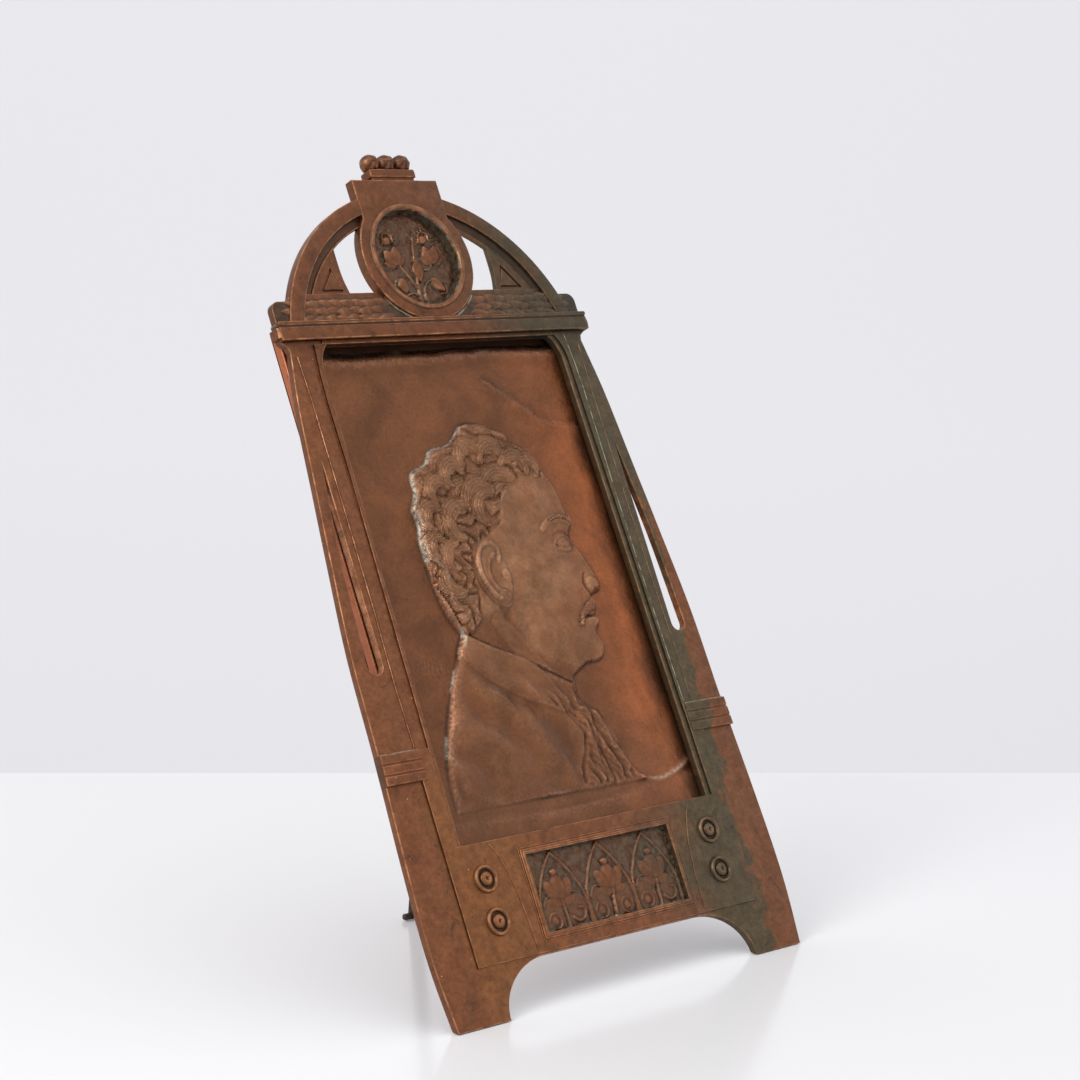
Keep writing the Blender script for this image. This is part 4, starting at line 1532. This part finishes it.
def reliefHeights(xs, ys):
    gx, gy = np.meshgrid(xs, ys)
    r = relief
    heights = r["face"] + 0.34 * softNoise(gx, gy, 34, 51) + 0.2 * softNoise(gx, gy, 15, 52)
    heights += 0.03 * softNoise(gx, gy, 5, 53)
    heights -= 0.35 * np.exp(-((gx - 58) / 8) ** 2) * smooth(gy, 250, 120)
    marks, flow = np.zeros(gx.shape + (4,)), np.zeros(gx.shape + (2,))
    addFace(gx, gy, heights, marks, flow)
    addDress(gx, gy, heights)
    addHair(xs, ys, gx, gy, heights, marks, flow)
    addEar(gx, gy, heights)
    # ledge under the bust, its scroll end and the rolled top edge
    ledgeTop = np.interp(gx[0], *r["ledge"])
    under = ledgeTop[None, :] - gy
    fading = np.interp(gx[0], *r["ledgeShade"])[None, :]
    share = smooth(under, -1.0, 1.6)
    heights[:] = heights * (1 - share) + (r["face"] + 0.8) * share
    heights -= 0.4 * fading * np.exp(-((under - 0.9) / 1.2) ** 2)
    scroll = toLine(gx, gy, spline(r["scroll"], 24))[0]
    heights += 0.95 * np.exp(-(scroll / 1.5) ** 2)
    roll = r["rollUp"] + 1.0 * np.sin(gx / 17) + 0.6 * softNoise(gx, gy * 0, 9, 58)
    heights += 0.8 * np.exp(-((gy - roll) / 2.6) ** 2)
    heights -= (1.4 + 0.9 * softNoise(gx, gy * 2.5, 6, 57)) * smooth(gy - roll, 1.6, 5.0)
    # a long crease runs down from the top towards the right
    away, _, beside = toLine(gx, gy, spline(r["crease"], 24))
    heights += 0.75 * np.exp(-(away / 3.5) ** 2) - 0.6 * np.exp(-((beside - 2.4) / 2.2) ** 2) * (away < 8)
    # rows of shallow strokes beside the shoulder
    rng = np.random.default_rng(r["strokeSeed"])
    startX, startY = r["strokeStart"]
    for i in range(r["strokes"]):
        x, y = startX + i * r["strokePitch"], startY - 0.35 * i + rng.uniform(-0.5, 0.5)
        lean, size = rng.uniform(-0.5, 0.5), rng.uniform(1.6, 3.0)
        ends = [(x - lean * size / 2, y - size), (x + lean * size / 2, y + size)]
        heights -= groove(gx, gy, ends, 0.9, 0.30)
    # wear: the high places rubbed, the low ones dark, pale dirt along the outline and the scroll
    rub, crevice = wearOf(heights, 2, 1.7)
    marks[..., 0] = np.clip(rub * (0.9 + 0.8 * marks[..., 3]), 0, 1)
    marks[..., 1] = np.clip(crevice * (1.15 - 0.45 * marks[..., 3]), 0, 1)
    chalk = np.zeros_like(gx)
    for line, width, strength in paleLines:
        chalk = np.maximum(chalk, groove(gx, gy, spline(line, 20), 1.24 * width, 0.85 * strength))
    scrollEdge = np.exp(-(scroll / 0.7) ** 2) * smooth(gx, 40, 46) * smooth(gx, 66, 58)
    marks[..., 2] = np.clip(chalk + 0.55 * scrollEdge, 0, 1)
    return heights, marks, flow


def buildRelief():
    r = relief
    xs = axisSteps(-r["half"], r["half"], *r["fineAcross"], r["fineStep"], r["looseStep"])
    ys = axisSteps(r["bottom"], r["top"], *r["fineUp"], r["fineStep"], r["looseStep"])
    heights, marks, flow = reliefHeights(xs, ys)
    shell = Shell()
    gridSheet(shell, xs, ys, heights, r["back"], marks[..., :3])
    mesh = shell.toMesh("relief_sheet", plateToWorld, sharp=75)
    corners = np.empty(len(mesh.loops), np.int32)
    mesh.loops.foreach_get("vertex_index", corners)
    count = heights.size
    spare = len(mesh.vertices) - count
    flowAll = np.vstack([flow.reshape(-1, 2), np.zeros((spare, 2))])[corners].astype(np.float32)
    mesh.uv_layers.new(name="flow").data.foreach_set("uv", flowAll.ravel())
    hair = mesh.attributes.new("hair", "FLOAT", "POINT")
    hair.data.foreach_set("value",
                          np.concatenate([marks[..., 3].ravel(), np.zeros(spare)]).astype(np.float32))
    return pieceFrom(mesh, "relief_sheet", copper, "stand", ["portrait_relief"])


reliefSheet = buildRelief()
print("stage: relief chased,", len(reliefSheet.data.polygons), "faces")


# Tray behind the frame, a folded copper box open to the front.
tray = {"half": 77.4, "bottom": 58, "top": 277.4, "back": -8.3, "front": -3.7, "wall": 1.0, "corner": 1.2}


def roundedBox(halfX, low, high, corner, steps=5):
    x, bottom, top = halfX - corner, low + corner, high - corner
    corners = ((x, bottom, -90), (x, top, 0), (-x, top, 90), (-x, bottom, 180))
    return np.vstack([arc(x, y, corner, corner, start, start + 90, steps) for x, y, start in corners])


def buildTray():
    t, shell = tray, Shell()
    outer = roundedBox(t["half"], t["bottom"], t["top"], t["corner"])
    inner = roundedBox(t["half"] - t["wall"], t["bottom"] + t["wall"], t["top"] - t["wall"],
                       t["corner"] * 0.6)
    slab(shell, outer, t["back"] + 0.35, t["front"], [inner], edge=0.3, crevice=0.1, rub=0.8)
    slab(shell, outer, t["back"], t["back"] + 0.9, edge=0.05, backEdge=0.4, crevice=0.05, rub=0.3, steps=5)
    # soot in the fold over the sheet
    over = [(-t["half"] + 2, 262), (t["half"] - 2, 262), (t["half"] - 2, t["top"] - 1.5),
            (-t["half"] + 2, t["top"] - 1.5)]
    slab(shell, over, t["back"] + 0.5, t["back"] + 1.2, edge=0.1, crevice=1.0, rub=0, cap=(0, 1.2, 0))
    return pieceFrom(shell.toMesh("tray_pan", plateToWorld), "tray_pan", trayCopper, "stand", ["back_tray"])


buildTray()


# Rear strut, its hinge bracket and pin.
stay = {
    "foot": 134.5, "width": 5.2, "thickness": 2.4, "head": 2.9, "toeHalf": 6.4, "toe": 2.6,
    "pinRadius": 1.5, "gap": 0.3, "height": 228, "standOff": 5.2, "lugHalf": 5.6, "lug": 2.0,
    "lugRadius": 4.0, "bracketHalf": 11, "above": 13, "below": 15, "plate": 1.6, "rivetAcross": 7.5}
pinUp, pinOut = stay["height"], tray["back"] - stay["plate"] - stay["gap"] - stay["standOff"]


def toSide(up, out):
    return up * sinLean - out * cosLean, up * cosLean + out * sinLean


def buildStrut():
    s, shell = stay, Shell()
    pin, toe = np.array(toSide(pinUp, pinOut)), np.array((s["foot"], 0.75))
    down = (toe - pin) / np.linalg.norm(toe - pin)
    side = np.array((-down[1], down[0])) * s["thickness"] / 2
    start = math.degrees(math.atan2(-down[1], -down[0]))
    opening = math.degrees(math.asin(s["thickness"] / 2 / s["head"]))
    ring = arc(*pin, s["head"], s["head"], start - 180 + opening, start + 180 - opening, 30)
    bore = arc(*pin, s["pinRadius"] + s["gap"], s["pinRadius"] + s["gap"], 0, 360, 24)[:-1]
    outline = np.vstack([ring, [toe + side, toe - side]])
    half = s["width"] / 2
    slab(shell, outline, -half, half, [bore], edge=0.5, backEdge=0.5, crevice=0.0, rub=0.8)
    reach = s["standOff"] - s["gap"]
    heel = [toSide(pinUp + up, pinOut + out) for up, out in ((1, -1), (5.4, -1), (5.4, reach), (1.2, reach))]
    slab(shell, heel, -half + 0.05, half - 0.05, edge=0.35, backEdge=0.35, crevice=0.2, rub=0.8)
    foot, toeSize = s["foot"], s["toe"]
    bar = roundedBox(toeSize / 2, 0, toeSize, 0.9)
    slab(shell, bar + [foot, 0], -s["toeHalf"], s["toeHalf"], edge=1.0, backEdge=1.0, crevice=0.0, rub=0.6,
         steps=5)
    mesh = shell.toMesh("strut_stay", sideToWorld)
    return pieceFrom(mesh, "strut_stay", strutBronze, "strut", ["easel_strut"])


def buildBracket():
    s, shell = stay, Shell()
    back = tray["back"] - s["gap"]
    plate = roundedBox(s["bracketHalf"], pinUp - s["below"], pinUp + s["above"], 2.0)
    slab(shell, plate, back - s["plate"], back, edge=0.1, backEdge=0.45, crevice=0.1, rub=0.8)
    mesh = shell.toMesh("bracket_plate", plateToWorld)
    lugs = Shell()
    eyeX, eyeY = pinUp, pinOut
    root = back - s["plate"] + 0.1
    bore = arc(eyeX, eyeY, s["pinRadius"] + s["gap"], s["pinRadius"] + s["gap"], 0, 360, 24)[:-1]
    reach = s["lugRadius"]
    outline = np.vstack([arc(eyeX, eyeY, reach, reach, 180, 360, 24),
                         [(eyeX + reach, root), (eyeX - reach, root)]])
    for side in (-1, 1):
        middle = side * (s["lugHalf"] - s["lug"] / 2)
        slab(lugs, outline, middle - s["lug"] / 2, middle + s["lug"] / 2, [bore], edge=0.4, backEdge=0.4,
             crevice=0.1, rub=0.8)
    # here x is up the plate, y is out of it and z across it
    upright = Matrix(((0, 0, 1, 0), (1, 0, 0, 0), (0, 1, 0, 0), (0, 0, 0, 1)))
    lugs = lugs.toMesh("lugs", plateToWorld @ upright)
    rivet = Shell()
    turned(rivet, [(0, 1.0, 0.8, 0, 0), (0.7, 0.92, 0.4, 0, 0), (1.3, 0.66, 0, 0, 0), (1.75, 0.25, 0, 0.9, 0),
                   (1.9, -0.3, 0, 0, 0)], 20)
    rivets = Shell()
    for side in (-1, 1):
        rowOf(rivets, rivet, darkBronze, 2, (side * s["rivetAcross"], -(pinUp + 9.5), 0), (0, 21, 0))
    behind = plateToWorld @ Matrix.Translation((0, 0, back - s["plate"])) @ Matrix.Rotation(math.pi, 4, "X")
    rivets = rivets.toMesh("rivets", behind)
    whole = Shell()
    for part in (mesh, lugs, rivets):
        whole.addMesh(part)
    return pieceFrom(whole.toMesh("bracket_hinge"), "bracket_hinge", darkBronze, "stand", ["hinge_bracket"])


def buildPin():
    s, shell = stay, Shell()
    reach, r = s["lugHalf"] + 0.4, s["pinRadius"]
    half = [(0, reach + 1.0), (r * 0.6, reach + 0.96), (r + 0.5, reach + 0.7), (r + 0.9, reach + 0.3),
            (r + 0.9, reach), (r, reach - 0.02)]
    section = half + [(a, -b) for a, b in half[::-1]][:-1]
    turned(shell, section + [(0.01, -(reach + 1.0))], 24)
    x, y = toSide(pinUp, pinOut)
    mesh = shell.toMesh("pin_turned", sideToWorld @ Matrix.Translation((x, y, 0)))
    return pieceFrom(mesh, "pin_turned", pinSteel, "stand", ["hinge_pin"])


buildStrut()
buildBracket()
buildPin()
print("stage: tray, strut and hinge fitted")
